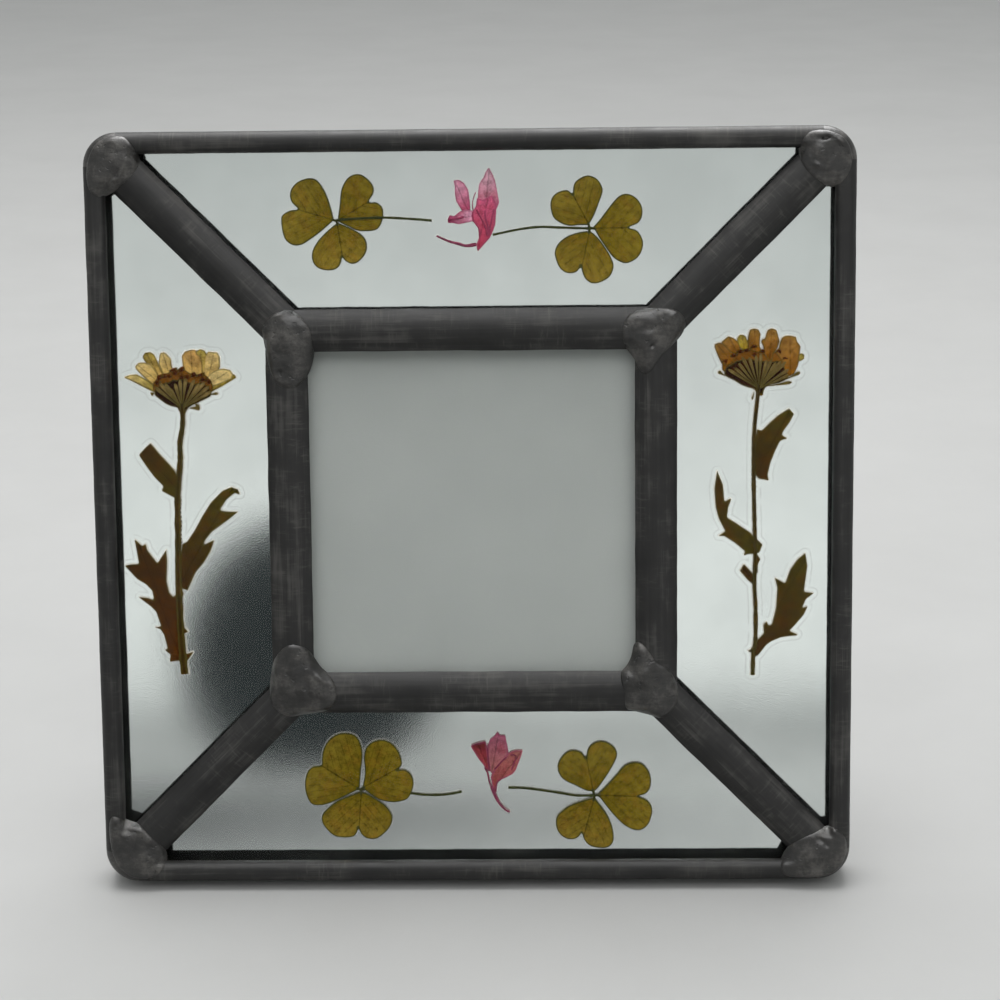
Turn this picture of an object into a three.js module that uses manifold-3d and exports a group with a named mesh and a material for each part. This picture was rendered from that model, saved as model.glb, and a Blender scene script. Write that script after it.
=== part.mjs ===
// Pressed flower frame: a square leaded-glass photo frame that leans back on a hinged strut.
// Four trapezoid panels hold dried plants between a clear pane and a satin mirror pane, and
// surround a square photo window. Millimetres, +Z up, the front faces -Y.
// Everything but the strut is drawn flat, as seen from the front: x right, y up, z forward.
// The whole frame is then leant back and set down with its origin under its middle.
import * as THREE from 'three';
import { mergeVertices } from 'three/addons/utils/BufferGeometryUtils.js';
import Module from 'manifold-3d';

const wasm = await Module();
wasm.setup();

// Plan of the frame, measured from its centre.
const FRAME_HALF = 57.15;
const CORNER_RADIUS = 5;
const OUTER_CAME_WIDTH = 3.2;
const CAME_WIDTH = 6.35;
const WINDOW_CAME_LINE = 27.6;
const DIAGONAL_START = 43.8;
const DIAGONAL_END = 72.6;

// Depths, measured from the middle of the panels towards the front.
const CHANNEL_HALF = 2.5;
const FACE_EDGE = 2.7;
const CROWN = 3.9;
const FRONT_PANE = [0.5, 2.2];
const MIRROR_PANE = [-2.2, -0.4];
const PLANT_LAYER = [-0.1, 0.2];
const INSERT_CARD = [-0.2, 0.2];
const BACKING_BOARD = [-3.5, -0.5];

// Came walls, and the gaps that keep neighbouring pieces apart.
const HEART = 1.2;
const OUTER_WALL = 0.8;
const GAP = 0.3;
const MITRE_GAP = 0.15;
const PANE_INSET = 0.4;
const PANE_CORNER_CUT = 1.6;

// Solder joints: flat-bottomed domes.
const JOINT_BASE = 2.55;
const JOINT_HEIGHT = 2.05;
const OUTER_JOINT_RADIUS = 4.9;
const INNER_JOINT = { centre: 28.3, radius: 4.8 };
const REAR_INNER_JOINT = { centre: 30.2, radius: 4 };

const WINDOW_GLASS_HALF = 26.4;
const CARD_HALF = 25.4;
const BOARD_HALF = 26.4;
const CLIP = { x: 23, length: 8, height: 3.2, thickness: 0.5, y: 13 };

// Strut and hinge. The hinge lies across the back, at hinge.y up and hinge.z behind.
const LEAN = THREE.MathUtils.degToRad(12);
const STRUT_OPENING = THREE.MathUtils.degToRad(26);
const HINGE = { y: 20, z: -6.4, barrel: 1.6, bore: 1.05, pin: 0.7, half: 8, middleHalf: 3 };
const LEAF = { height: 6, back: -4.4, front: -3.8 };
const RIVET = { x: 5.2, y: 23.8, radius: 1.3, height: 0.7 };
const STRUT = { thickness: 1.6, neck: 2.4, topHalf: 7, footHalf: 10, footRound: 2 };

const ROUND_STEPS = 6;
const CORNER_STEPS = 3;
const DOME_STEPS = 3;
const DOME_SIDES = 12;
const BARREL_SIDES = 16;

const cameMetal = new THREE.MeshStandardMaterial({ color: 0x4a4846, roughness: 0.45, metalness: 0.8 });
const solderMetal = new THREE.MeshStandardMaterial({ color: 0x5c5a56, roughness: 0.4, metalness: 0.8 });
const clearGlass = new THREE.MeshStandardMaterial({
  color: 0xeaf2ef, roughness: 0.05, transparent: true, opacity: 0.3,
});
const satinMirror = new THREE.MeshStandardMaterial({ color: 0xc9cdcc, roughness: 0.25, metalness: 1 });
const clover = new THREE.MeshStandardMaterial({ color: 0x6f6a2c, roughness: 0.8 });
const pinkPetal = new THREE.MeshStandardMaterial({ color: 0xc0506a, roughness: 0.8 });
const daisy = new THREE.MeshStandardMaterial({ color: 0x7a5424, roughness: 0.8 });
const paper = new THREE.MeshStandardMaterial({ color: 0xd6d8d4, roughness: 0.9 });
const velvet = new THREE.MeshStandardMaterial({ color: 0x1d1d20, roughness: 1 });
const steel = new THREE.MeshStandardMaterial({ color: 0x9b9c98, roughness: 0.35, metalness: 1 });

const point = (x, y) => new THREE.Vector2(x, y);
const points = (pairs) => pairs.map(([x, y]) => point(x, y));

function toSolid(geometry) {
  const bare = geometry.clone();
  bare.deleteAttribute('normal');
  bare.deleteAttribute('uv');
  const merged = mergeVertices(bare, 1e-4);
  const vertProperties = merged.attributes.position.array;
  const triVerts = Uint32Array.from(merged.index.array);
  return new wasm.Manifold(new wasm.Mesh({ numProp: 3, vertProperties, triVerts }));
}

function toGeometry(solid) {
  const mesh = solid.getMesh();
  const geometry = new THREE.BufferGeometry();
  geometry.setAttribute('position', new THREE.BufferAttribute(mesh.vertProperties, 3));
  geometry.setIndex(new THREE.BufferAttribute(mesh.triVerts, 1));
  geometry.computeVertexNormals();
  return geometry;
}

const union = (geometries) => toGeometry(geometries.map(toSolid).reduce((all, solid) => all.add(solid)));

function subtract(geometry, cutters) {
  const cut = cutters.map(toSolid).reduce((solid, cutter) => solid.subtract(cutter), toSolid(geometry));
  return toGeometry(cut);
}

function addPiece(group, name, geometry, material, turn = 0) {
  const mesh = new THREE.Mesh(geometry, material);
  mesh.name = name;
  mesh.rotation.z = turn;
  group.add(mesh);
}

// A flat piece: its outline, between two depths.
function slab(outline, [back, front]) {
  const shape = outline instanceof THREE.Shape ? outline : new THREE.Shape(outline);
  const geometry = new THREE.ExtrudeGeometry(shape, { depth: front - back, bevelEnabled: false });
  return geometry.translate(0, 0, back);
}

const square = (half) => points([[-half, -half], [half, -half], [half, half], [-half, half]]);

// A section carried from station to station, capped at both ends. It runs counterclockwise,
// and each station places a section point in space.
function sweep(section, stations) {
  const count = section.length;
  const positions = stations.flatMap((station) => section.flatMap((p) => station(p)));
  const index = [];
  for (let ring = 0; ring < stations.length - 1; ring += 1) {
    for (let side = 0; side < count; side += 1) {
      const a = ring * count + side;
      const b = ring * count + ((side + 1) % count);
      index.push(a, b, a + count, b, b + count, a + count);
    }
  }
  const lastRing = (stations.length - 1) * count;
  for (const [a, b, c] of THREE.ShapeUtils.triangulateShape(section, [])) {
    index.push(a, c, b, lastRing + a, lastRing + b, lastRing + c);
  }
  const geometry = new THREE.BufferGeometry();
  geometry.setAttribute('position', new THREE.Float32BufferAttribute(positions, 3));
  geometry.setIndex(index);
  return geometry;
}

// Came sections: x runs across the came, y is depth. The faces are half ellipses.
function faceArc(middle, half, from, to) {
  const arc = [];
  for (let step = 0; step <= ROUND_STEPS; step += 1) {
    const angle = from + ((to - from) * step) / ROUND_STEPS;
    const edge = Math.sin(angle) < 0 ? -FACE_EDGE : FACE_EDGE;
    arc.push(point(middle + half * Math.cos(angle), edge + (CROWN - FACE_EDGE) * Math.sin(angle)));
  }
  return arc;
}

function doubleChannelSection() {
  const half = CAME_WIDTH / 2;
  const heart = HEART / 2;
  return [
    point(half, CHANNEL_HALF), ...faceArc(0, half, 0, Math.PI),
    point(-half, CHANNEL_HALF), point(-heart, CHANNEL_HALF),
    point(-heart, -CHANNEL_HALF), point(-half, -CHANNEL_HALF), point(-half, -FACE_EDGE),
    ...faceArc(0, half, -Math.PI, 0).slice(1, -1),
    point(half, -FACE_EDGE), point(half, -CHANNEL_HALF),
    point(heart, -CHANNEL_HALF), point(heart, CHANNEL_HALF),
  ];
}

// Round the window the inner side has no back flange, so the glass, card and board drop in.
function windowSection() {
  const half = CAME_WIDTH / 2;
  const heart = HEART / 2;
  const heartAngle = -Math.acos(-heart / half);
  return [
    point(half, CHANNEL_HALF), ...faceArc(0, half, 0, Math.PI),
    point(-half, CHANNEL_HALF), point(-heart, CHANNEL_HALF),
    ...faceArc(0, half, heartAngle, 0).slice(0, -1),
    point(half, -FACE_EDGE), point(half, -CHANNEL_HALF),
    point(heart, -CHANNEL_HALF), point(heart, CHANNEL_HALF),
  ];
}

// Round the outside, x is measured from the centre of the frame's corner.
function outerSection() {
  const half = OUTER_CAME_WIDTH / 2;
  const middle = CORNER_RADIUS - half;
  const lip = CORNER_RADIUS - OUTER_CAME_WIDTH;
  const web = CORNER_RADIUS - OUTER_WALL;
  return [
    ...faceArc(middle, half, 0, Math.PI),
    point(lip, CHANNEL_HALF), point(web, CHANNEL_HALF),
    point(web, -CHANNEL_HALF), point(lip, -CHANNEL_HALF), point(lip, -FACE_EDGE),
    ...faceArc(middle, half, -Math.PI, 0).slice(1, -1), point(CORNER_RADIUS, -FACE_EDGE),
  ];
}

// One side of the outside, with half of the corner at each end.
function outerCame() {
  const cornerCentre = FRAME_HALF - CORNER_RADIUS;
  const stationAt = (side, angle) => (p) => {
    const slide = Math.abs(angle) === Math.PI / 4 ? MITRE_GAP : 0;
    const x = cornerCentre + p.x * Math.sin(Math.abs(angle)) - slide * Math.cos(angle);
    return [side * x, cornerCentre + p.x * Math.cos(angle) + slide * Math.sin(Math.abs(angle)), p.y];
  };
  const angles = Array.from({ length: CORNER_STEPS + 1 }, (_, step) => (Math.PI / 4) * (step / CORNER_STEPS));
  const left = [...angles].reverse().map((angle) => stationAt(-1, angle));
  const right = angles.map((angle) => stationAt(1, angle));
  return sweep(outerSection(), [...left, ...right]);
}

function windowCame() {
  const stationAt = (side) => (p) => {
    const y = WINDOW_CAME_LINE + p.x;
    return [side * (y - MITRE_GAP * Math.SQRT2), y, p.y];
  };
  return sweep(windowSection(), [stationAt(-1), stationAt(1)]);
}

// Drawn along the diagonal to the upper right corner.
function diagonalCame() {
  const stationAt = (distance) => (p) => [
    (distance - p.x) * Math.SQRT1_2, (distance + p.x) * Math.SQRT1_2, p.y,
  ];
  return sweep(doubleChannelSection(), [stationAt(DIAGONAL_START), stationAt(DIAGONAL_END)]);
}

// A dome on the diagonal to the upper right corner, on the front (face 1) or the back (face -1).
function dome(radius, base, height, sides) {
  const profile = [point(0, 0), point(radius, 0)];
  for (let step = 1; step < DOME_STEPS; step += 1) {
    const angle = (Math.PI / 2) * (step / DOME_STEPS);
    profile.push(point(radius * Math.cos(angle), height * Math.sin(angle)));
  }
  profile.push(point(0, height));
  return new THREE.LatheGeometry(profile, sides).rotateX(Math.PI / 2).translate(0, 0, base);
}

function joint(centre, radius, face, grow = 0) {
  const geometry = dome(radius + grow, JOINT_BASE - grow, JOINT_HEIGHT + 2 * grow, DOME_SIDES);
  return geometry.rotateX(face > 0 ? 0 : Math.PI).translate(centre, centre, 0);
}

const JOINT_PLACES = [
  { name: 'outer_joint_front', centre: FRAME_HALF - CORNER_RADIUS, radius: OUTER_JOINT_RADIUS, face: 1 },
  { name: 'outer_joint_back', centre: FRAME_HALF - CORNER_RADIUS, radius: OUTER_JOINT_RADIUS, face: -1 },
  { name: 'window_joint_front', ...INNER_JOINT, face: 1 },
  { name: 'window_joint_back', ...REAR_INNER_JOINT, face: -1 },
];

// The room that solder takes out of the cames, at each corner that a top piece touches.
function jointRoom(turns) {
  return JOINT_PLACES.flatMap((place) => turns.map((turn) => (
    joint(place.centre, place.radius, place.face, GAP).rotateZ(turn)
  )));
}

// The pane of the top panel. Its outer corners are cut to clear the rounded came.
function paneOutline() {
  const clear = HEART / 2 + PANE_INSET;
  const inner = WINDOW_CAME_LINE + clear;
  const outer = FRAME_HALF - OUTER_WALL - PANE_INSET;
  const slant = clear * Math.SQRT2;
  const rightSide = [
    [inner - slant, inner],
    [outer - slant - PANE_CORNER_CUT * 0.6, outer - PANE_CORNER_CUT * 0.6],
    [outer - slant - PANE_CORNER_CUT, outer],
  ];
  const leftSide = rightSide.map(([x, y]) => [-x, y]).reverse();
  return points([...rightSide, ...leftSide]);
}

// Plants, drawn in place.
const CLOVERS = {
  clover_top_left: {
    centre: [-19.9, 43.9],
    leaflets: [[160, 7.5, 9.6], [36, 6.9, 8.4], [274, 7.1, 8.5]],
    stalk: [[-19.9, 43.9], [-12.9, 44.3], [-5.7, 43.7]],
  },
  clover_top_right: {
    centre: [17.8, 42.4],
    leaflets: [[117, 7.2, 8.2], [2, 7.7, 10.2], [259, 7.5, 9.1]],
    stalk: [[17.8, 42.4], [12.5, 42.5], [9.2, 42.6], [3.4, 41.5]],
  },
  clover_bottom_left: {
    centre: [-17.8, -43.5],
    leaflets: [[142, 8.5, 12], [35, 7.8, 10.5], [264, 7.7, 10.9]],
    stalk: [[-17.8, -43.5], [-10.2, -44.2], [-5.6, -44.5], [-2.3, -43.9]],
  },
  clover_bottom_right: {
    centre: [18.2, -44.5],
    leaflets: [[103, 7.8, 9.3], [1, 8.4, 11], [257, 7.8, 9.6]],
    stalk: [[18.2, -44.5], [15.6, -44.5], [11.5, -44.1], [4.9, -43.3]],
  },
};

const PINK_FLOWERS = {
  pink_flower_top: {
    petals: [
      [[1.2, 41], [-1.1, 45.2], [-1.9, 46.5], [-2.5, 49.6], [-1, 49.5], [0, 47.5], [2.4, 43]],
      [[0.6, 42.6], [-3.2, 43.4], [-3.3, 44.1], [0.1, 45.1], [2, 43.5]],
      [[1.2, 39.2], [0.2, 43], [0.8, 47.4], [1.7, 49.6], [2.9, 51.4], [3.8, 49.6], [4.3, 46.5], [3.2, 41.4]],
    ],
    stalk: [[-5, 41.3], [-3.1, 40.4], [-1.2, 39.6], [1.8, 40.6]],
  },
  pink_flower_bottom: {
    petals: [
      [[2.2, -43.6], [1.3, -40.6], [-0.8, -36.7], [1.5, -35.9], [3.4, -42.2]],
      [[2.4, -43.4], [1.5, -38.4], [3.2, -34.4], [4.4, -35.3], [5, -37.6], [3.4, -42.4]],
      [[2.5, -43.4], [4, -37.8], [7.1, -37.3], [5.6, -40.9], [3.4, -42.2], [2.9, -43.6]],
    ],
    stalk: [[2.6, -42.8], [2.9, -44.5], [3.7, -46.1], [5.2, -47.2]],
  },
};

const DAISIES = {
  daisy_left: {
    head: [[-48.3, 18.9], [-46.4, 21.2], [-43.6, 21.9], [-41, 21.3], [-39.2, 18.8], [-41.6, 16.3], [-43.7, 15.5],
      [-46.2, 16.4]],
    petals: [[[-48, 19], [-52.6, 20.7], 2], [[-47.6, 19.8], [-50.4, 22.6], 1.4], [[-47, 20.6], [-48.9, 24.3], 1.7],
      [[-45.9, 20.8], [-46.2, 24.6], 2.4], [[-43.6, 21], [-43.3, 24.9], 1.8], [[-42.4, 21], [-41.8, 24.9], 1.8],
      [[-40.6, 20.6], [-39.5, 24.8], 2.6], [[-40, 19.4], [-35.6, 21.2], 2.6]],
    stalk: [[-43.7, 16.4], [-44.5, 8.8], [-44.6, 3.3], [-44.9, -2.1], [-45, -12.1], [-45.2, -17.8], [-44.5, -24.9]],
    leaves: [
      [[-44.4, 6.4], [-48.8, 10.5], [-50.6, 8.7], [-49, 5.9], [-47.2, 4.2], [-47.2, 3], [-44.6, 2]],
      [[-45, -4.8], [-42.4, -2.4], [-40.8, 0.4], [-38.4, 3], [-36.6, 3.9], [-35.6, 2.7], [-38.2, 0.5],
        [-35.8, 0.1], [-38, -1.6], [-41.2, -4.5], [-39.5, -4.2], [-41.3, -7.5], [-44, -12.2], [-45.2, -12.2]],
      [[-44.8, -11.4], [-46.3, -12.7], [-47, -9.9], [-47, -6], [-48.4, -7.9], [-51.7, -4.2], [-51.2, -8.6],
        [-53.1, -8], [-51.4, -9.6], [-49.4, -11.7], [-49, -13.4], [-51.2, -13.1], [-49.5, -14.7],
        [-48.5, -16.2], [-49, -17.6], [-47.9, -17.6], [-47.6, -21.3], [-46.7, -23.2], [-44.4, -22.8],
        [-43.3, -21.8], [-44.1, -18.4]],
    ],
  },
  daisy_right: {
    head: [[37.1, 20.6], [36.5, 24.9], [38.9, 26], [40.7, 26.3], [42.4, 27.2], [43.6, 25.8], [45.1, 27.2],
      [46, 25], [47.4, 26.1], [48.8, 25.4], [49.8, 22.9], [49.2, 20.4], [45.3, 18.9], [42.9, 18],
      [38.9, 19.6]],
    petals: [],
    stalk: [[42.9, 18.6], [42.5, 13.1], [42.3, 3.9], [42.4, -3.9], [42.5, -10.2], [42.8, -18.1], [42.3, -25.6]],
    leaves: [
      [[42.2, 11.9], [43.5, 11.8], [47.7, 15.1], [48.3, 14.2], [46.8, 11.3], [47.3, 10.7], [45.6, 9.8],
        [45, 6.9], [44.2, 5.4], [42.2, 4.2]],
      [[36.9, 5.9], [36.4, 2.4], [37, -1.1], [37.1, -4.1], [38, -3.6], [40.6, -5.8], [40.9, -7.3],
        [43.1, -7.1], [43.8, -5.3], [42.1, -3.8], [38.6, -1.5], [39, 1.6], [38.2, 1]],
      [[42.6, -8.9], [41, -8.7], [40.4, -9.7], [42.2, -11.4], [42.8, -11]],
      [[50.2, -6.9], [48.3, -9.3], [47, -11.8], [45.7, -10.8], [45.8, -15.1], [44.5, -17.4], [42.4, -20],
        [42.3, -22.2], [44.6, -20.8], [46.7, -19.9], [49.3, -19.6], [48.5, -18.1], [50.1, -15],
        [51.6, -13], [50.5, -12.7]],
    ],
  },
};

const CLOVER_STALK_WIDTH = 0.5;
const PINK_STALK_WIDTH = 0.6;
const DAISY_STALK_WIDTH = 1;

// A heart-shaped leaflet that grows from the origin along +y.
function leaflet(length, width) {
  const shape = new THREE.Shape();
  const half = width / 2;
  shape.moveTo(0, -0.4);
  shape.bezierCurveTo(0.3 * half, 0.25 * length, half, 0.35 * length, half, 0.68 * length);
  shape.bezierCurveTo(half, 0.9 * length, 0.72 * half, length, 0.46 * half, length);
  shape.bezierCurveTo(0.2 * half, length, 0.06 * half, 0.94 * length, 0, 0.8 * length);
  shape.bezierCurveTo(-0.06 * half, 0.94 * length, -0.2 * half, length, -0.46 * half, length);
  shape.bezierCurveTo(-0.72 * half, length, -half, 0.9 * length, -half, 0.68 * length);
  shape.bezierCurveTo(-half, 0.35 * length, -0.3 * half, 0.25 * length, 0, -0.4);
  return new THREE.Shape(shape.getPoints(3));
}

// A stalk of even width along a smooth line.
function stalk(pairs, width) {
  const line = new THREE.SplineCurve(points(pairs));
  const steps = 2 * (pairs.length - 1);
  const edge = (side) => Array.from({ length: steps + 1 }, (_, step) => {
    const along = line.getTangent(step / steps);
    const middle = line.getPoint(step / steps);
    return point(middle.x - (side * along.y * width) / 2, middle.y + (side * along.x * width) / 2);
  });
  return [...edge(-1), ...edge(1).reverse()];
}

// A petal as a narrow oval from its base to its tip.
function petal([base, tip, width]) {
  const from = point(...base);
  const to = point(...tip);
  const middle = from.clone().lerp(to, 0.5);
  const lean = to.clone().sub(from).angle();
  const shape = new THREE.Shape();
  shape.absellipse(middle.x, middle.y, from.distanceTo(to) / 2, width / 2, 0, 2 * Math.PI, false, lean);
  return shape.getPoints(4).slice(0, -1);
}

function cloverPiece({ centre, leaflets, stalk: line }) {
  const blades = leaflets.map(([degrees, length, width]) => {
    const blade = slab(leaflet(length, width), PLANT_LAYER);
    blade.rotateZ(THREE.MathUtils.degToRad(degrees) - Math.PI / 2);
    return blade.translate(centre[0], centre[1], 0);
  });
  return union([...blades, slab(stalk(line, CLOVER_STALK_WIDTH), PLANT_LAYER)]);
}

function pinkPiece({ petals, stalk: line }) {
  const outlines = [...petals.map(points), stalk(line, PINK_STALK_WIDTH)];
  return union(outlines.map((outline) => slab(outline, PLANT_LAYER)));
}

function daisyPiece({ head, petals, stalk: line, leaves }) {
  const outlines = [
    points(head), ...petals.map(petal), stalk(line, DAISY_STALK_WIDTH), ...leaves.map(points),
  ];
  return union(outlines.map((outline) => slab(outline, PLANT_LAYER)));
}

function addPlants(frame) {
  for (const [name, plant] of Object.entries(CLOVERS)) {
    addPiece(frame, name, cloverPiece(plant), clover);
  }
  for (const [name, plant] of Object.entries(PINK_FLOWERS)) {
    addPiece(frame, name, pinkPiece(plant), pinkPetal);
  }
  for (const [name, plant] of Object.entries(DAISIES)) {
    addPiece(frame, name, daisyPiece(plant), daisy);
  }
}

// The four sides and four corners, each drawn once and turned about the centre.
function addCames(frame) {
  const bothEnds = jointRoom([0, Math.PI / 2]);
  const oneCorner = jointRoom([0]);
  const outer = subtract(outerCame(), bothEnds);
  const inner = subtract(windowCame(), bothEnds);
  const diagonal = subtract(diagonalCame(), oneCorner);
  const front = slab(paneOutline(), FRONT_PANE);
  const mirror = slab(paneOutline(), MIRROR_PANE);
  ['top', 'left', 'bottom', 'right'].forEach((side, index) => {
    const turn = (index * Math.PI) / 2;
    addPiece(frame, `outer_came_${side}`, outer, cameMetal, turn);
    addPiece(frame, `window_came_${side}`, inner, cameMetal, turn);
    addPiece(frame, `clear_pane_${side}`, front, clearGlass, turn);
    addPiece(frame, `mirror_pane_${side}`, mirror, satinMirror, turn);
  });
  ['top_right', 'top_left', 'bottom_left', 'bottom_right'].forEach((corner, index) => {
    const turn = (index * Math.PI) / 2;
    addPiece(frame, `diagonal_came_${corner}`, diagonal, cameMetal, turn);
    for (const { name, centre, radius, face } of JOINT_PLACES) {
      addPiece(frame, `${name}_${corner}`, joint(centre, radius, face), solderMetal, turn);
    }
  });
}

// A strip bent down from the back of a window came onto the board, drawn for the right side.
function backingClip() {
  const cameBack = -CROWN - GAP;
  const boardBack = BACKING_BOARD[0] - GAP;
  const bend = CLIP.x + 0.4 * CLIP.length;
  const profile = points([
    [CLIP.x, boardBack], [CLIP.x, boardBack - CLIP.thickness], [bend, boardBack - CLIP.thickness],
    [bend + 0.6, cameBack - CLIP.thickness], [CLIP.x + CLIP.length, cameBack - CLIP.thickness],
    [CLIP.x + CLIP.length, cameBack], [bend + 0.6, cameBack], [bend, boardBack],
  ]);
  return slab(profile, [-CLIP.height / 2, CLIP.height / 2]).rotateX(Math.PI / 2);
}

function addWindow(frame) {
  addPiece(frame, 'window_glass', slab(square(WINDOW_GLASS_HALF), FRONT_PANE), clearGlass);
  addPiece(frame, 'insert_card', slab(square(CARD_HALF), INSERT_CARD), paper);
  addPiece(frame, 'backing_board', slab(square(BOARD_HALF), BACKING_BOARD), velvet);
  for (const [level, y] of [['upper', CLIP.y], ['lower', -CLIP.y]]) {
    addPiece(frame, `backing_clip_${level}_right`, backingClip().translate(0, y, 0), steel);
    addPiece(frame, `backing_clip_${level}_left`, backingClip().rotateZ(Math.PI).translate(0, y, 0), steel);
  }
}

// A cylinder across the frame, centred on the hinge line at the given x.
function barrel(radius, length, x = 0) {
  const geometry = new THREE.CylinderGeometry(radius, radius, length, BARREL_SIDES);
  return geometry.rotateZ(Math.PI / 2).translate(x, 0, 0);
}

const bore = () => barrel(HINGE.bore, 3 * HINGE.half);

// The leaf, riveted to the board above the hinge line, with a knuckle at each end.
function hingeLeaf() {
  const knuckle = HINGE.half - HINGE.middleHalf - GAP;
  const plateDepth = LEAF.front - LEAF.back;
  const plate = new THREE.BoxGeometry(2 * HINGE.half, LEAF.height, plateDepth);
  plate.translate(0, LEAF.height / 2, (LEAF.front + LEAF.back) / 2 - HINGE.z);
  const pieces = [plate];
  const webDepth = LEAF.front - HINGE.z - plateDepth / 2;
  for (const side of [-1, 1]) {
    const x = side * (HINGE.half - knuckle / 2);
    const web = new THREE.BoxGeometry(knuckle, HINGE.barrel, webDepth);
    pieces.push(barrel(HINGE.barrel, knuckle, x), web.translate(x, HINGE.barrel / 2, webDepth / 2));
  }
  return subtract(union(pieces), [bore()]).translate(0, HINGE.y, HINGE.z);
}

function hingePin() {
  const head = 0.7;
  const heads = [-1, 1].map((side) => barrel(HINGE.barrel - 0.4, head, side * (HINGE.half + GAP + head / 2)));
  const pin = union([barrel(HINGE.pin, 2 * (HINGE.half + GAP) + head), ...heads]);
  return pin.translate(0, HINGE.y, HINGE.z);
}

function addHinge(frame) {
  addPiece(frame, 'hinge_leaf', hingeLeaf(), steel);
  addPiece(frame, 'hinge_pin', hingePin(), steel);
  for (const [name, side] of [['hinge_rivet_left', -1], ['hinge_rivet_right', 1]]) {
    const rivet = dome(RIVET.radius, GAP - LEAF.back, RIVET.height, DOME_SIDES).rotateY(Math.PI);
    addPiece(frame, name, rivet.translate(side * RIVET.x, RIVET.y, 0), steel);
  }
}

// How high a flat-drawn point stands once the frame leans back, measured from the centre.
const standingHeight = (y, z) => y * Math.cos(LEAN) + z * Math.sin(LEAN);

// Drawn hanging from its hinge line at the origin, with its foot cut to lie on the floor when open.
function strut() {
  const tilt = STRUT_OPENING - LEAN;
  const drop = standingHeight(HINGE.y, HINGE.z) - standingHeight(-FRAME_HALF, -FACE_EDGE);
  const rearLength = drop / Math.cos(tilt);
  const frontLength = rearLength - STRUT.thickness * Math.tan(tilt);
  const side = points([[0, 0], [0, -rearLength], [STRUT.thickness, -frontLength], [STRUT.thickness, 0]]);
  const width = 3 * STRUT.footHalf;
  const strip = slab(side, [-width / 2, width / 2]).rotateY(-Math.PI / 2);
  const foot = STRUT.footHalf;
  const round = STRUT.footRound;
  const front = slab(points([
    [-HINGE.middleHalf, 0], [-HINGE.middleHalf, -STRUT.neck], [-STRUT.topHalf, -STRUT.neck],
    [-foot, -rearLength + round], [-foot + round, -rearLength], [foot - round, -rearLength],
    [foot, -rearLength + round], [STRUT.topHalf, -STRUT.neck],
    [HINGE.middleHalf, -STRUT.neck], [HINGE.middleHalf, 0],
  ]), [-1, STRUT.thickness + 1]);
  const blade = toGeometry(toSolid(strip).intersect(toSolid(front)));
  return subtract(union([blade, barrel(HINGE.barrel, 2 * HINGE.middleHalf)]), [bore()]);
}

const frame = new THREE.Group();
addCames(frame);
addPlants(frame);
addWindow(frame);
addHinge(frame);

const strutArm = new THREE.Group();
strutArm.position.set(0, HINGE.y, HINGE.z);
strutArm.rotation.x = STRUT_OPENING;
addPiece(strutArm, 'strut', strut(), velvet);
frame.add(strutArm);

// Leant back and set down on the floor, centred over the origin.
frame.rotation.x = Math.PI / 2 - LEAN;
const model = new THREE.Group();
model.add(frame);
model.updateMatrixWorld(true);
const box = new THREE.Box3().setFromObject(model, true);
frame.position.set(0, -(box.min.y + box.max.y) / 2, -box.min.z);

export default model;
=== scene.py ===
import math

import bpy
import numpy as np
from mathutils import Matrix, Vector, kdtree, noise


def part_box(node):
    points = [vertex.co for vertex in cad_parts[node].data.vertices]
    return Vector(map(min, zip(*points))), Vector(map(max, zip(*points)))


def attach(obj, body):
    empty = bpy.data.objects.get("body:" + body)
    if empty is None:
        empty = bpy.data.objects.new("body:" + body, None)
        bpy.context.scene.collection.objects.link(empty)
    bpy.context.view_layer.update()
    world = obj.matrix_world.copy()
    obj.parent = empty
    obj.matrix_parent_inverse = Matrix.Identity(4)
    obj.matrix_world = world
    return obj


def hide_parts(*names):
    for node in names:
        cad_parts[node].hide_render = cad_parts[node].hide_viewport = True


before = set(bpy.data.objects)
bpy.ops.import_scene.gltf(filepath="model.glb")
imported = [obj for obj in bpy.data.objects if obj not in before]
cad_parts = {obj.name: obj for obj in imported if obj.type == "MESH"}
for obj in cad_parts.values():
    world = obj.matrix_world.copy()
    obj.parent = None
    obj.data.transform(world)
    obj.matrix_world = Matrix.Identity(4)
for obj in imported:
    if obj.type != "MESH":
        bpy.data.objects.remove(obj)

# Pressed flower frame: dark leaded cames and solder round satin mirror panels of dried plants.
# Every piece is drawn flat in millimetres, as seen from the front: x right, y up, z forward.
# It is then settled into the frame, which leans back, in metres.

MM = 0.001
LEAN = math.radians(12)
STRUT_OPENING = math.radians(26)

# The hinge lies across the back. The strut hangs from it, drawn with its own origin on the pin.
HINGE_PLACE = (0, 20, -6.4)
HINGE_HALF = 8.0
KNUCKLE_MIDDLE = 3.0
KNUCKLE_GAP = 0.3
KNUCKLE_RADIUS = 1.6
PIN_BORE = 1.05
PIN_RADIUS = 0.7
PIN_HEAD_RADIUS = 1.2
PIN_HEAD_THICKNESS = 0.7
LEAF_HEIGHT = 6.0
LEAF_BACK = -4.4
LEAF_FRONT = -3.8
RIVET_X = 5.2
RIVET_Y = 23.8
RIVET_RADIUS = 1.3
RIVET_BULGE = 0.72
RIVET_HEIGHT = 0.62
STRUT_DROP = 74.695
STRUT_THICKNESS = 1.6
STRUT_NECK = 2.4
STRUT_TOP_HALF = 7.0
STRUT_FOOT_HALF = 10.0
STRUT_TONGUE = (5.4, 3.2, 0.35)

# The backing board and the clips that are bent over it.
BOARD_HALF = 26.4
BOARD_DEPTHS = (-3.5, -0.5)
CLIP_Y = 13
CLIP_START = 23.0
CLIP_LENGTH = 8.0
CLIP_WIDTH = 3.2
CLIP_THICKNESS = 0.5
CLIP_ON_CAME = -4.45
CLIP_ON_BOARD = -4.05

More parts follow.
